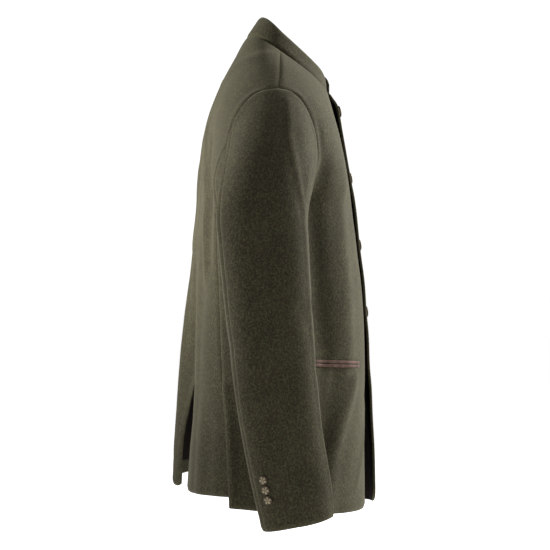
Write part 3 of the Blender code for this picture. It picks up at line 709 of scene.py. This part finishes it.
# How far the outer left front stands off the right front.
STANDOFF = {
    "z":   (-0.760, -0.720, -0.630, -0.565, -0.530, -0.465, -0.433, -0.380, -0.319,
            -0.260, -0.205, -0.160, -0.115, -0.095, -0.082, -0.070, -0.060),
    "off": (0.0215, 0.0205, 0.0185, 0.0150, 0.0115, 0.0100, 0.0082, 0.0088, 0.0085,
            0.0100, 0.0095, 0.0095, 0.0110, 0.0130, 0.0125, 0.0085, 0.0064),
}
STANDOFF_SPAN = (0.012, 0.055)
FRONT_FOLDS_RIGHT = {
    "from_away": (0.232, 0.212, 0.140, 0.190, 0.138, 0.202, 0.041, 0.034, 0.205, 0.236),
    "from_z":    (-0.150, -0.215, -0.235, -0.530, -0.545, -0.655, -0.590, -0.486, -0.450, -0.560),
    "to_away":   (0.204, 0.214, 0.154, 0.236, 0.202, 0.216, 0.122, 0.036, 0.218, 0.246),
    "to_z":      (-0.232, -0.480, -0.490, -0.680, -0.655, -0.745, -0.700, -0.545, -0.590, -0.745),
    "width":     (0.014, 0.024, 0.022, 0.022, 0.015, 0.017, 0.008, 0.006, 0.020, 0.020),
    "height":    (-0.0050, -0.0090, 0.0044, -0.0070, 0.0052, 0.0044, 0.0020, -0.0022, -0.0070, -0.0028),
}
FRONT_FOLDS_LEFT = {
    "from_away": (0.222, 0.208, 0.136, 0.128, 0.150, 0.060, 0.196, 0.084, 0.240, 0.160),
    "from_z":    (-0.150, -0.240, -0.260, -0.520, -0.570, -0.600, -0.450, -0.200, -0.580, -0.120),
    "to_away":   (0.184, 0.210, 0.152, 0.134, 0.205, 0.110, 0.212, 0.104, 0.248, 0.146),
    "to_z":      (-0.250, -0.470, -0.510, -0.700, -0.745, -0.730, -0.610, -0.300, -0.740, -0.200),
    "width":     (0.022, 0.026, 0.022, 0.024, 0.024, 0.020, 0.021, 0.024, 0.018, 0.022),
    "height":    (-0.0045, -0.0060, 0.0040, -0.0032, 0.0044, -0.0018, -0.0034, 0.0018, -0.0022, 0.0020),
}
# The side of the body behind the side line, measured from the centre back.
SIDE_FOLDS = {
    "from_away": (0.225, 0.205, 0.235),
    "from_z":    (-0.250, -0.420, -0.540),
    "to_away":   (0.222, 0.222, 0.250),
    "to_z":      (-0.420, -0.600, -0.740),
    "width":     (0.016, 0.015, 0.016),
    "height":    (-0.0030, 0.0024, 0.0026),
}
# Distances on the side part are marked by this much added to them.
SIDE_MARK = 1.0


for side, word, folds in ((-1, "Right", FRONT_FOLDS_RIGHT), (1, "Left", FRONT_FOLDS_LEFT)):
    def front_columns(row, length):
        return close_set(-OVERLAP, length, 66)

    def side_columns(row, length):
        return close_set(seam_share(row) * length, length, 20)

    rows = body_rows()
    side_rows = rows[rows > SEAM_ROW - 1e-9]
    grid, away = body_grid("front", side, rows, front_columns)
    behind, behind_away = body_grid("back strip", side, side_rows, side_columns)
    marked = behind_away[:, ::-1] + SIDE_MARK
    points, away, faces = weld([grid, behind[:, ::-1]], [away, marked])
    faces = look_away(points, faces, points * [0, 0, 1] + BODY_MIDDLE)
    edges = border(faces)
    near = edge_distance(points, edges)

    def free(p, side=side):
        return p[2] < HEM_ZONE or (p[0] * side < 0.030 and p[1] < -0.080 and p[2] < -0.068)

    held = at_seams(points, edges, free)
    at_side = away > 0.9
    z = points[:, 2]
    relief = np.where(at_side, fold_relief(SIDE_FOLDS, away - SIDE_MARK, z),
                      fold_relief(folds, away, z))
    calm = np.where(at_side, 1.0, ease(away, *CALM_SPAN))
    relief = (relief + ripple(points) * calm) * held
    relief += seam_relief(near) * calm
    lap_edge = np.interp(-z, -behind[:, 0, 2], behind_away[:, 0])
    from_lap = away - SIDE_MARK - lap_edge
    lapped = (1 - ease(from_lap, 0.008, 0.020)) * ease(-z, -LAP_TOP, -LAP_TOP + LAP_RUN_IN)
    relief += np.where(at_side, LAP_RAISE * lapped, 0.0)
    doubled = (1 - ease(points[:, 0] * side, *DOUBLED_SPAN)) * ~at_side
    wall = CLOTH + (EDGE_CLOTH - CLOTH) * doubled
    # The left front has no cloth turned in at its edge, so the near-black lining runs right to the edge
    # there as painted shade along the inside of the front edge.
    front = cloth_shell("Front_%s_Cloth" % word, points, faces, relief, wall, loden, lining_and_painted_shade,
                        0.0 if side > 0 else TURNED_IN, free)
    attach(front, "root")
    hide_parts("Front_" + word)


# SLEEVES, TOP AND UNDER PIECE OF EACH
# Two-piece sleeves in the same cloth, set into the armholes with a little
# fullness over the head, and hanging with a slight forward bend. They are
# open hollow tubes, lined, with a plain cuff edge.
SLEEVE = {
    "z":      (-0.755, -0.700, -0.600, -0.500, -0.400, -0.300),
    "x":      (0.2850, 0.2830, 0.2800, 0.2760, 0.2720, 0.2680),
    "y":      (0.0020, 0.0102, 0.0282, 0.0396, 0.0480, 0.0550),
    "half_x": (0.0400, 0.0430, 0.0470, 0.0500, 0.0515, 0.0520),
    "half_y": (0.0555, 0.0600, 0.0620, 0.0648, 0.0670, 0.0690),
}
SLEEVE_ROUND = 2.3
BACK_SEAM_TURN = 0.25
FRONT_SEAM_TURN = 0.70
HEAD_END = -0.300
CUFF_BACK = -0.756
CUFF_FRONT = -0.734
# The left arm hangs this much further forward than the right one.
LEFT_FORWARD = 0.015
SLEEVE_GIRTH = 0.37
# Folds of the sleeves: turns from the outer side over the back, and heights.
SLEEVE_FOLDS_RIGHT = {
    "from_turn": (0.978, 0.957, 0.938, 0.893, 0.832, 0.955, 0.900,
                  0.020, 0.130, 0.060, 0.900, 0.222, 0.640, 0.180),
    "from_z":    (-0.100, -0.162, -0.184, -0.227, -0.276, -0.150, -0.205,
                  -0.360, -0.330, -0.470, -0.420, -0.190, -0.380, -0.560),
    "to_turn":   (0.957, 0.938, 0.893, 0.832, 0.806, 0.905, 0.842,
                  0.060, 0.110, 0.940, 0.840, 0.212, 0.760, 0.120),
    "to_z":      (-0.162, -0.184, -0.227, -0.276, -0.700, -0.200, -0.275,
                  -0.620, -0.520, -0.520, -0.450, -0.420, -0.420, -0.700),
    "width":     (0.0050, 0.0050, 0.0050, 0.0050, 0.0046, 0.011, 0.012,
                  0.030, 0.022, 0.020, 0.014, 0.006, 0.014, 0.020),
    "height":    (0.0019, 0.0022, 0.0026, 0.0026, 0.0016, -0.0012, -0.0016,
                  -0.0016, 0.0014, -0.0014, -0.0016, 0.0016, -0.0022, 0.0014),
}
SLEEVE_FOLDS_LEFT = {
    "from_turn": (0.972, 0.948, 0.898, 0.930, 0.900, 0.030, 0.120, 0.050, 0.890, 0.250, 0.650),
    "from_z":    (-0.120, -0.180, -0.225, -0.130, -0.195, -0.380,
                  -0.310, -0.450, -0.440, -0.240, -0.400),
    "to_turn":   (0.948, 0.888, 0.830, 0.900, 0.845, 0.050, 0.100, 0.930, 0.850, 0.220, 0.750),
    "to_z":      (-0.185, -0.235, -0.310, -0.200, -0.280, -0.640,
                  -0.500, -0.490, -0.480, -0.440, -0.450),
    "width":     (0.0080, 0.0070, 0.0085, 0.012, 0.014, 0.028, 0.024, 0.018, 0.015, 0.013, 0.015),
    "height":    (0.0020, 0.0028, 0.0032, -0.0032, -0.0045, -0.0018, 0.0012, -0.0016, -0.0018, 0.0020,
                  -0.0020),
}
TOP_SLEEVE_CUT = {"flat": (0.205, 0.675), "area": 0.109}
# Steps round half the armhole, down the sleeve head and down the arm.
ARMHOLE_STEPS = 40
HEAD_STEPS = 30
ARM_STEPS = 88
# Rings over which the folds begin below the armhole, and the heights between
# which the fullness of the head dies away.
FOLD_RUN_IN = 4.0
HEAD_FULLNESS = 0.0009
HEAD_SPAN = (-0.260, -0.200)
UNDER_SLEEVE_CUT = {"flat": (0.235, 0.640), "area": 0.117}


def sleeve_section(side, z, turn_angle):
    x = smooth(SLEEVE, "z", "x", z)
    y = smooth(SLEEVE, "z", "y", z) - (LEFT_FORWARD if side > 0 else 0.0)
    hx = smooth(SLEEVE, "z", "half_x", z)
    hy = smooth(SLEEVE, "z", "half_y", z)
    c = np.cos(turn_angle)
    s = np.sin(turn_angle)
    p = 2.0 / SLEEVE_ROUND
    return np.stack([side * (x + hx * np.sign(c) * np.abs(c) ** p),
                     y + hy * np.sign(s) * np.abs(s) ** p,
                     np.broadcast_to(z, np.shape(c))], axis=-1)


def sleeve_grid(side, arm_rows, head_steps, arm_steps):
    """Rings of the sleeve from the armhole to the cuff, and their turns."""
    back = [edge_point("back", r) for r in arm_rows]
    front = [edge_point("front", r) for r in arm_rows]
    ring = np.array(back + front[-2:0:-1])
    ring[:, 0] *= side
    loop = np.vstack([ring, ring[:1]])
    arc = np.concatenate([[0.0], np.cumsum(np.linalg.norm(np.diff(loop, axis=0), axis=1))])
    angle = 2 * pi * arc[:-1] / arc[-1]
    top = np.full(len(ring), HEAD_END)
    start = sleeve_section(side, top, angle)
    chord = np.linalg.norm(start - ring, axis=1)
    outer = np.clip(np.cos(angle), 0.0, 1.0)
    under = np.clip(-np.cos(angle), 0.0, 1.0)
    lead = np.stack([side * (0.42 + 0.50 * outer**1.5 - 0.2 * under), 0.10 * np.sin(angle),
                     -(1.0 - 0.42 * outer**1.5)], axis=1)
    lead /= np.linalg.norm(lead, axis=1)[:, None]
    trail = sleeve_section(side, top - 0.01, angle) - start
    trail /= np.linalg.norm(trail, axis=1)[:, None]
    rings = []
    for t in np.linspace(0.0, 1.0, head_steps + 1):
        a = 2 * t**3 - 3 * t**2 + 1
        b = t**3 - 2 * t**2 + t
        c = -2 * t**3 + 3 * t**2
        d = t**3 - t**2
        rings.append(a * ring + b * chord[:, None] * lead + c * start + d * chord[:, None] * trail)
    cuff = CUFF_FRONT + (CUFF_BACK - CUFF_FRONT) * (np.sin(angle) + 1) / 2
    for t in np.linspace(0.0, 1.0, arm_steps + 1)[1:]:
        rings.append(sleeve_section(side, HEAD_END + (cuff - HEAD_END) * t, angle))
    return np.array(rings), angle / (2 * pi)


for side, word, folds in ((-1, "Right", SLEEVE_FOLDS_RIGHT), (1, "Left", SLEEVE_FOLDS_LEFT)):
    grid, turns = sleeve_grid(side, np.linspace(1, 2, ARMHOLE_STEPS + 1), HEAD_STEPS, ARM_STEPS)
    count = grid.shape[1]
    first = round(BACK_SEAM_TURN * count)
    last = round(FRONT_SEAM_TURN * count)
    pieces = (("Top_Sleeve_", np.arange(last, count + first + 1) % count, TOP_SLEEVE_CUT),
              ("Under_Sleeve_", np.arange(first, last + 1), UNDER_SLEEVE_CUT))
    for part, columns, cut in pieces:
        turn = np.tile(turns[columns], (len(grid), 1))
        ring = np.tile(np.arange(len(grid))[:, None], (1, len(columns)))
        points, kept, faces = weld([grid[:, columns]], [np.stack([turn, ring], axis=2)])
        turn, ring = kept[:, 0], kept[:, 1]
        middle = np.stack([side * smooth(SLEEVE, "z", "x", points[:, 2]),
                           smooth(SLEEVE, "z", "y", points[:, 2]), points[:, 2]], axis=1)
        faces = look_away(points, faces, middle)
        near = edge_distance(points, border(faces))
        # Folds that cross the outer side are counted both ways round.
        z = points[:, 2]
        turned = {k.replace("turn", "away"): v for k, v in folds.items()}
        relief = np.zeros(len(points))
        for shift in (-1.0, 0.0, 1.0):
            relief += fold_relief(turned, turn + shift, z, SLEEVE_GIRTH)
        relief = (relief + ripple(points)) * ease(ring, 0.0, FOLD_RUN_IN)
        relief += seam_relief(near, HEAD_FULLNESS * ease(z, *HEAD_SPAN))
        sleeve = cloth_shell(part + word + "_Cloth", points, faces, relief,
                             np.full(len(points), CLOTH), loden, lining_and_painted_shade, CUFF_TURNED_IN,
                             lambda p: p[2] < HEM_ZONE)
        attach(sleeve, "root")
        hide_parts(part + word)


# STAND COLLAR
# One strip of the olive cloth, stiffened and doubled, sewn to the neck edge.
# It stands up at the back, slopes forward and ends in two rounded corners.
COLLAR_CLOTH = 0.0032
COLLAR = {
    "share": (0.00, 0.20, 0.42, 0.60, 0.75, 0.86, 0.93, 0.97, 1.00),
    "dx":    (0.000, 0.006, 0.014, 0.016, 0.013, 0.008, 0.005, 0.003, 0.001),
    "dy":    (-0.0220, -0.0180, -0.0060, 0.0020, 0.0050, 0.0050, 0.0035, 0.0015, 0.0002),
    "dz":    (0.0335, 0.0318, 0.0318, 0.0335, 0.0335, 0.0325, 0.0290, 0.0230, 0.0150),
}


def collar_grid(side, shares, rises):
    """Half collar from centre back to centre front, on the neck seam."""
    back = row_curve("back", side, 0.0)
    front = row_curve("front", side, 0.0)[PAST_MIDDLE:]
    seam = np.vstack([back, front[::-1][1:]])
    arc = np.concatenate([[0.0], np.cumsum(np.linalg.norm(np.diff(seam, axis=0), axis=1))])
    base = np.stack([np.interp(shares * arc[-1], arc, seam[:, k]) for k in range(3)], axis=1)
    lift = np.stack([-smooth(COLLAR, "share", "dx", shares), smooth(COLLAR, "share", "dy", shares),
                     smooth(COLLAR, "share", "dz", shares)], axis=1)
    grid = []
    for t in rises:
        p = base + lift * np.array([t**1.15, t**1.1, t**0.95])
        p[:, 0] *= side
        grid.append(p)
    return np.array(grid)


shares = np.concatenate([np.linspace(0.0, 0.985, 76), [1.0]])
rises = np.concatenate([[0.0, 0.07], np.linspace(0.16, 0.84, 8), [0.93, 1.0]])
halves = [collar_grid(side, shares, rises) for side in (-1, 1)]
grid = np.concatenate([halves[0][:, ::-1], halves[1][:, 1:]], axis=1)
points, faces = weld([grid], [np.zeros(grid.shape[:2])])[::2]
faces = look_away(points, faces, points * [0, 0, 1] + [0.0, -0.02, 0.0])
near = edge_distance(points, border(faces))
relief = 0.5 * ripple(points) * ease(near, 0.0, 0.012) + seam_relief(near) * 0.7
# Both faces are the olive cloth.
collar = cloth_shell("Collar_Cloth", points, faces, relief, np.full(len(points), COLLAR_CLOTH),
                     loden, loden, TURNED_IN, lambda p: True)
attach(collar, "root")
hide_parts("Collar")


# POCKET WELTS AND SLITS
# Two folded strips of rose brown leather at each pocket, sewn in above and
# below the slit. Between them a thin near-black sheet is painted shadow for the pocket opening.
POCKET = {"front_end": 0.114, "rear_end": 0.258, "front_z": -0.5110, "rear_z": -0.5020}
WELT_TALL = 0.0050
WELT_THICK = 0.0020
WELT_GAP = 0.0012
WELT_STEPS = 48
WELT_ROUND = 14
SLIT_THICK = 0.0006
SLIT_UNDER_WELT = 0.0008
LIFT = 0.0004
ROSE_BROWN = (0.105, 0.062, 0.046, 1.0)
ROSE_DARK = (0.052, 0.029, 0.021, 1.0)
ROSE_PALE = (0.150, 0.100, 0.078, 1.0)
SLIT_DARK = (0.010, 0.008, 0.007, 1.0)


def rose_leather():
    """Smooth nappa leather: fine pores and a cloudy tone with paler flecks."""
    finish, shader, start, place = new_finish("Rose_Leather", {"Specular IOR Level": 0.10})
    pores = start.node("ShaderNodeTexVoronoi", {"feature": "DISTANCE_TO_EDGE"},
                       {"Vector": place, "Scale": 1500.0})
    cloudy = grain(start, place, 0.006)
    fine = grain(start, place, 0.0009, 3.0)
    colour = cloudy.between(0.3, 0.7).mix(ROSE_DARK, ROSE_BROWN)
    colour = (fine.between(0.5, 0.75) * 0.4).mix(colour, ROSE_PALE)
    join(start, colour, shader, "Base Color")
    join(start, 0.62 + fine * 0.2, shader, "Roughness")
    height = pores.between(0.0, 0.12) * 0.6 + fine * 0.4
    bump = start.node("ShaderNodeBump", {}, {"Strength": 0.4, "Distance": 0.0002, "Height": height})
    join(start, bump, shader, "Normal")
    return finish


def front_point(side, away, height):
    """Point and outward normal of a front, with its folds, at a distance from
    the middle front and at a height."""
    def at(row, distance):
        p = body_row("front", side, row, lambda r, length: np.array([distance]))[0][0]
        p[0] *= side
        return p

    low, high = 0.3, 3.0
    for step in range(24):
        row = (low + high) / 2
        if at(row, away)[2] > height:
            low = row
        else:
            high = row
    across = at(row, away + 0.002) - at(row, away - 0.002)
    down = at(row + 0.01, away) - at(row - 0.01, away)
    n = np.cross(across, down)
    n /= np.linalg.norm(n)
    p = at(row, away)
    if np.dot(n, p - np.array([0.0, 0.05, p[2]])) < 0:
        n = -n
    folds = FRONT_FOLDS_RIGHT if side < 0 else FRONT_FOLDS_LEFT
    rise = fold_relief(folds, np.array([away]), p[2:3])[0]
    rise += ripple(p[None])[0] * float(ease(np.array(away), *CALM_SPAN))
    return p + n * rise, n


def sweep(name, sections, finish, closed_ends=True):
    """Smooth skin over a row of closed sections."""
    sections = np.array(sections)
    steps, count = sections.shape[:2]
    faces = []
    for k in range(steps - 1):
        for j in range(count):
            a = k * count + j
            b = k * count + (j + 1) % count
            faces.append([a, b, b + count, a + count])
    if closed_ends:
        faces.append(list(range(count))[::-1])
        faces.append([(steps - 1) * count + j for j in range(count)])
    points = sections.reshape(-1, 3)
    middle = np.repeat(sections.mean(axis=1), count, axis=0)
    total = sum(np.dot(np.cross(points[f[2]] - points[f[0]], points[f[3]] - points[f[1]]),
                       points[f].mean(axis=0) - middle[f].mean(axis=0)) for f in faces[:count * 4])
    if total < 0:
        faces = [f[::-1] for f in faces]
    mesh = bpy.data.meshes.new(name)
    mesh.from_pydata([tuple(float(c) for c in p) for p in points], [], faces)
    mesh.polygons.foreach_set("use_smooth", [True] * len(faces))
    mesh.materials.append(finish)
    mesh.update()
    piece = bpy.data.objects.new(name, mesh)
    bpy.context.scene.collection.objects.link(piece)
    return piece


def pocket_line(t):
    """Distance from the middle front and height along the slit."""
    away = POCKET["front_end"] + (POCKET["rear_end"] - POCKET["front_end"]) * t
    return away, POCKET["front_z"] + (POCKET["rear_z"] - POCKET["front_z"]) * t


leather = rose_leather()
# Near-black finish of the pocket slits: painted shadow in the opening between the welts.
slit_painted_shadow = new_finish("Slit_Shadow", {"Base Color": SLIT_DARK, "Roughness": 0.9})[0]
for side, word in ((-1, "Right"), (1, "Left")):
    for place_name, drop in (("Upper", 0.0), ("Lower", WELT_TALL + WELT_GAP)):
        sections = []
        for k in range(WELT_STEPS + 1):
            t = k / WELT_STEPS
            away, top = pocket_line(t)
            # The ends are tucked under.
            swell = min(1.0, (min(t, 1 - t) * WELT_STEPS + 0.6) / 2.0)
            upper = front_point(side, away, top - drop)
            lower = front_point(side, away, top - drop - WELT_TALL)
            n = (upper[1] + lower[1]) / 2
            ring = []
            for j in range(WELT_ROUND):
                a = 2 * pi * j / WELT_ROUND
                across = (1 - np.cos(a)) / 2
                out = WELT_THICK * (0.5 + 0.5 * np.sin(a)) * swell
                ring.append(upper[0] + (lower[0] - upper[0]) * across + n * (LIFT * 0.5 + out))
            sections.append(ring)
        welt = sweep("Pocket_%s_Welt_%s_Leather" % (place_name, word), sections, leather)
        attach(welt, "root")
        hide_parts("Pocket_%s_Welt_%s" % (place_name, word))
    sections = []
    for k in range(WELT_STEPS + 1):
        away, top = pocket_line(0.01 + 0.98 * k / WELT_STEPS)
        upper, n = front_point(side, away, top - WELT_TALL + SLIT_UNDER_WELT)
        lower, n = front_point(side, away, top - WELT_TALL - WELT_GAP - SLIT_UNDER_WELT)
        sections.append([upper, upper + n * SLIT_THICK, lower + n * SLIT_THICK, lower])
    slit = sweep("Pocket_Slit_" + word, sections, slit_painted_shadow)
    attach(slit, "root")


# FRONT BUTTONS AND CUFF BUTTONS
# Cast domed buttons in silvery brass with a leaf rosette and a beaded rim,
# browned in the hollows and bright on the raised parts. Four large ones close
# the front, three small ones sit close together at the back of each cuff.
FRONT_BUTTON_HEIGHTS = (-0.091, -0.205, -0.319, -0.433)
FRONT_BUTTON_RADIUS = 0.0100
FRONT_BUTTON_TALL = 0.0050
CUFF_BUTTON_HEIGHTS = (-0.6755, -0.6905, -0.7056)
CUFF_BUTTON_RADIUS = 0.0073
CUFF_BUTTON_TALL = 0.0040
CUFF_BUTTON_FROM_BACK = 0.0391
LEAVES = 5
BEADS = 22
SPOKES = 96
# Underside and rim of a button, as shares of its radius and of its height.
RIM = ((0.30, 0.0), (0.62, 0.0), (0.80, 0.08), (0.92, 0.22), (0.98, 0.33), (1.00, 0.42))
METAL_BRIGHT = (0.190, 0.158, 0.105, 1.0)
METAL_WARM = (0.110, 0.080, 0.050, 1.0)
PATINA = (0.026, 0.017, 0.011, 1.0)


def cast_metal():
    """Silvery brass: patina in the hollows, bright where hands rub it."""
    constants = {"Metallic": 0.8}
    finish, shader, start, place = new_finish("Cast_Brass", constants)
    raised = start.node("ShaderNodeAttribute", {"attribute_name": "raised"}, {}, "Fac")
    spots = grain(start, place, 0.0016, 3.0)
    scratches = grain(start, place, 0.0005, 2.0, (1.0, 1.0, 0.2))
    bright = (raised + spots * 0.5 - 0.25).between(0.15, 0.85)
    colour = bright.mix(PATINA, METAL_WARM)
    colour = (bright * bright.between(0.45, 1.0)).mix(colour, METAL_BRIGHT)
    join(start, colour, shader, "Base Color")
    join(start, 0.66 - bright * 0.30 + spots * 0.10, shader, "Roughness")
    height = spots * 0.5 + scratches * 0.5
    bump = start.node("ShaderNodeBump", {}, {"Strength": 0.25, "Distance": 0.0002, "Height": height})
    join(start, bump, shader, "Normal")
    return finish


def button_relief(r, angle):
    """Raised height of the ornament, 0 to 1, over the button's face."""
    wave = np.cos(LEAVES * angle)
    reach = 0.68 + 0.07 * wave
    leaf = (1 - ease(r, reach, reach + 0.07)) * ease(r, 0.13, 0.20)
    vein = 0.60 * np.exp(-((wave + 1) / 0.30) ** 2) * leaf
    boss = 1 - ease(r, 0.10, 0.15)
    bead = (0.55 + 0.45 * np.cos(BEADS * angle)) * np.exp(-((r - 0.86) / 0.055) ** 2)
    return np.clip(0.85 * leaf - vein + boss + bead, 0.0, 1.0)


def cast_button(name, centre, normal, radius, tall, finish, turn):
    """Round face with its ornament, a rounded rim and a flat underside."""
    normal = normal / np.linalg.norm(normal)
    side = np.cross(normal, np.array([0.0, 0.0, 1.0]))
    side /= np.linalg.norm(side)
    up = np.cross(side, normal)
    angle = 2 * pi * np.arange(SPOKES) / SPOKES
    spokes = np.cos(angle)[:, None] * side + np.sin(angle)[:, None] * up
    sections = []
    raised = []
    for r, h in RIM:
        sections.append(centre + normal * (LIFT + h * tall) + spokes * r * radius)
        raised.append(np.full(SPOKES, 0.15))
    for r in np.concatenate([np.linspace(0.985, 0.62, 14), np.linspace(0.60, 0.04, 22)]):
        lift = button_relief(np.full(SPOKES, r), angle + turn)
        dome = 0.50 + 0.36 * (1 - r**2)
        h = (dome + 0.14 * lift) * tall * (0.90 + 0.10 * ease(1 - r, 0.0, 0.06))
        sections.append(centre + normal * (LIFT + h)[:, None] + spokes * r * radius)
        raised.append(lift)
    piece = sweep(name, sections, finish)
    worn = piece.data.attributes.new("raised", "FLOAT", "POINT")
    worn.data.foreach_set("value", np.concatenate(raised).astype(np.float32))
    return piece


def cuff_point(side, height):
    """Place and normal of a cuff button, beside the back seam."""
    def at(angle, z):
        return sleeve_section(side, np.array(z), np.array(angle))

    angle = 2 * pi * BACK_SEAM_TURN
    gone = 0.0
    p = at(angle, height)
    while gone < CUFF_BUTTON_FROM_BACK:
        angle -= 0.01
        q = at(angle, height)
        gone += float(np.linalg.norm(q - p))
        p = q
    around = at(angle + 0.02, height) - at(angle - 0.02, height)
    down = at(angle, height - 0.005) - at(angle, height + 0.005)
    n = np.cross(around, down)
    n /= np.linalg.norm(n)
    middle_x = side * float(smooth(SLEEVE, "z", "x", height))
    middle_y = float(smooth(SLEEVE, "z", "y", height))
    if np.dot(n, p - np.array([middle_x, middle_y, height])) < 0:
        n = -n
    return p + n * ripple(p[None])[0], n


metal = cast_metal()
for k, height in enumerate(FRONT_BUTTON_HEIGHTS):
    centre, normal = front_point(1, 0.0, height)
    button = cast_button("Front_Button_%d_Cast" % (k + 1), centre, normal, FRONT_BUTTON_RADIUS,
                         FRONT_BUTTON_TALL, metal, 0.3 * k)
    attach(button, "root")
    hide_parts("Front_Button_%d" % (k + 1))
for side, word in ((-1, "Right"), (1, "Left")):
    for k, height in enumerate(CUFF_BUTTON_HEIGHTS):
        centre, normal = cuff_point(side, height)
        button = cast_button("Cuff_Button_%s_%d_Cast" % (word, k + 1), centre, normal,
                             CUFF_BUTTON_RADIUS, CUFF_BUTTON_TALL, metal, 0.2 + 0.4 * k)
        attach(button, "root")
        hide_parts("Cuff_Button_%s_%d" % (word, k + 1))


# FLOOR AND LIGHT
# Plain pale floor below the jacket and a white surround. Large soft lights
# stand in front of the jacket, behind it and above it, higher than its middle,
# so that the side looked at stays dark and the light falls off downwards.
FLOOR_HEIGHT = -0.95
SOFT_LIGHTS = {
    "x":      (0.02, 0.24, 0.90, 1.10, -0.10),
    "y":      (1.00, -1.55, 1.80, -1.80, 0.25),
    "z":      (-0.12, 0.34, 0.10, 0.00, 1.80),
    "wide":   (0.40, 0.70, 1.20, 1.20, 1.00),
    "tall":   (0.30, 0.70, 1.60, 1.60, 1.00),
    "spread": (62.0, 150.0, 180.0, 180.0, 180.0),
    "watts":  (3.1, 45.0, 10.0, 10.0, 20.0),
}
LIGHT_AIM = Vector((0.0, 0.0, -0.26))
FLOOR_REACH = 40.0
WHITE = (1.0, 1.0, 1.0, 1.0)
FLOOR_GREY = (0.86, 0.86, 0.86, 1.0)
FLOOR_PALE = (0.90, 0.90, 0.90, 1.0)
# Strength of the surround on the cloth, and what is added to it where it is
# looked at and where it is mirrored.
SURROUND_PLAIN = 0.12
SURROUND_SEEN = 0.95
SURROUND_MIRRORED = 0.5
floor_paint, shader, start, place = new_finish(
    "Pale_Floor", {"Roughness": 0.9, "Emission Strength": 0.85, "Emission Color": WHITE})
floor_tone = grain(start, place, 0.4).between(0.0, 1.0)
join(start, floor_tone.mix(FLOOR_GREY, FLOOR_PALE), shader, "Base Color")
floor_mesh = bpy.data.meshes.new("Floor")
corners = [(x * FLOOR_REACH, y * FLOOR_REACH, 0.0) for x, y in ((-1, -1), (1, -1), (1, 1), (-1, 1))]
floor_mesh.from_pydata(corners, [], [(0, 1, 2, 3)])
floor_mesh.materials.append(floor_paint)
floor = bpy.data.objects.new("Floor", floor_mesh)
floor.location = (0.0, 0.0, FLOOR_HEIGHT)
bpy.context.scene.collection.objects.link(floor)
for x, y, z, wide, tall, spread, watts in zip(*[SOFT_LIGHTS[k] for k in SOFT_LIGHTS]):
    lamp = bpy.data.lights.new("Soft_Light", "AREA")
    lamp.shape = "RECTANGLE"
    lamp.size = wide
    lamp.size_y = tall
    lamp.spread = radians(spread)
    lamp.energy = watts
    stand = bpy.data.objects.new("Soft_Light", lamp)
    stand.location = (x, y, z)
    stand.visible_camera = False
    aim = LIGHT_AIM - Vector((x, y, z))
    stand.rotation_mode = "QUATERNION"
    stand.rotation_quaternion = aim.to_track_quat("-Z", "Y")
    bpy.context.scene.collection.objects.link(stand)

surround = bpy.data.worlds.new("Surround")
surround.use_nodes = True
air = Thread(surround.node_tree)
seen = air.node("ShaderNodeLightPath", {}, {}, "Is Camera Ray")
mirrored = air.node("ShaderNodeLightPath", {}, {}, "Is Glossy Ray")
glow = surround.node_tree.nodes["Background"]
glow.inputs["Color"].default_value = WHITE
strength = SURROUND_PLAIN + seen * SURROUND_SEEN + mirrored * SURROUND_MIRRORED
surround.node_tree.links.new(strength.socket, glow.inputs["Strength"])
bpy.context.scene.world = surround
bpy.context.scene.view_settings.view_transform = "Standard"
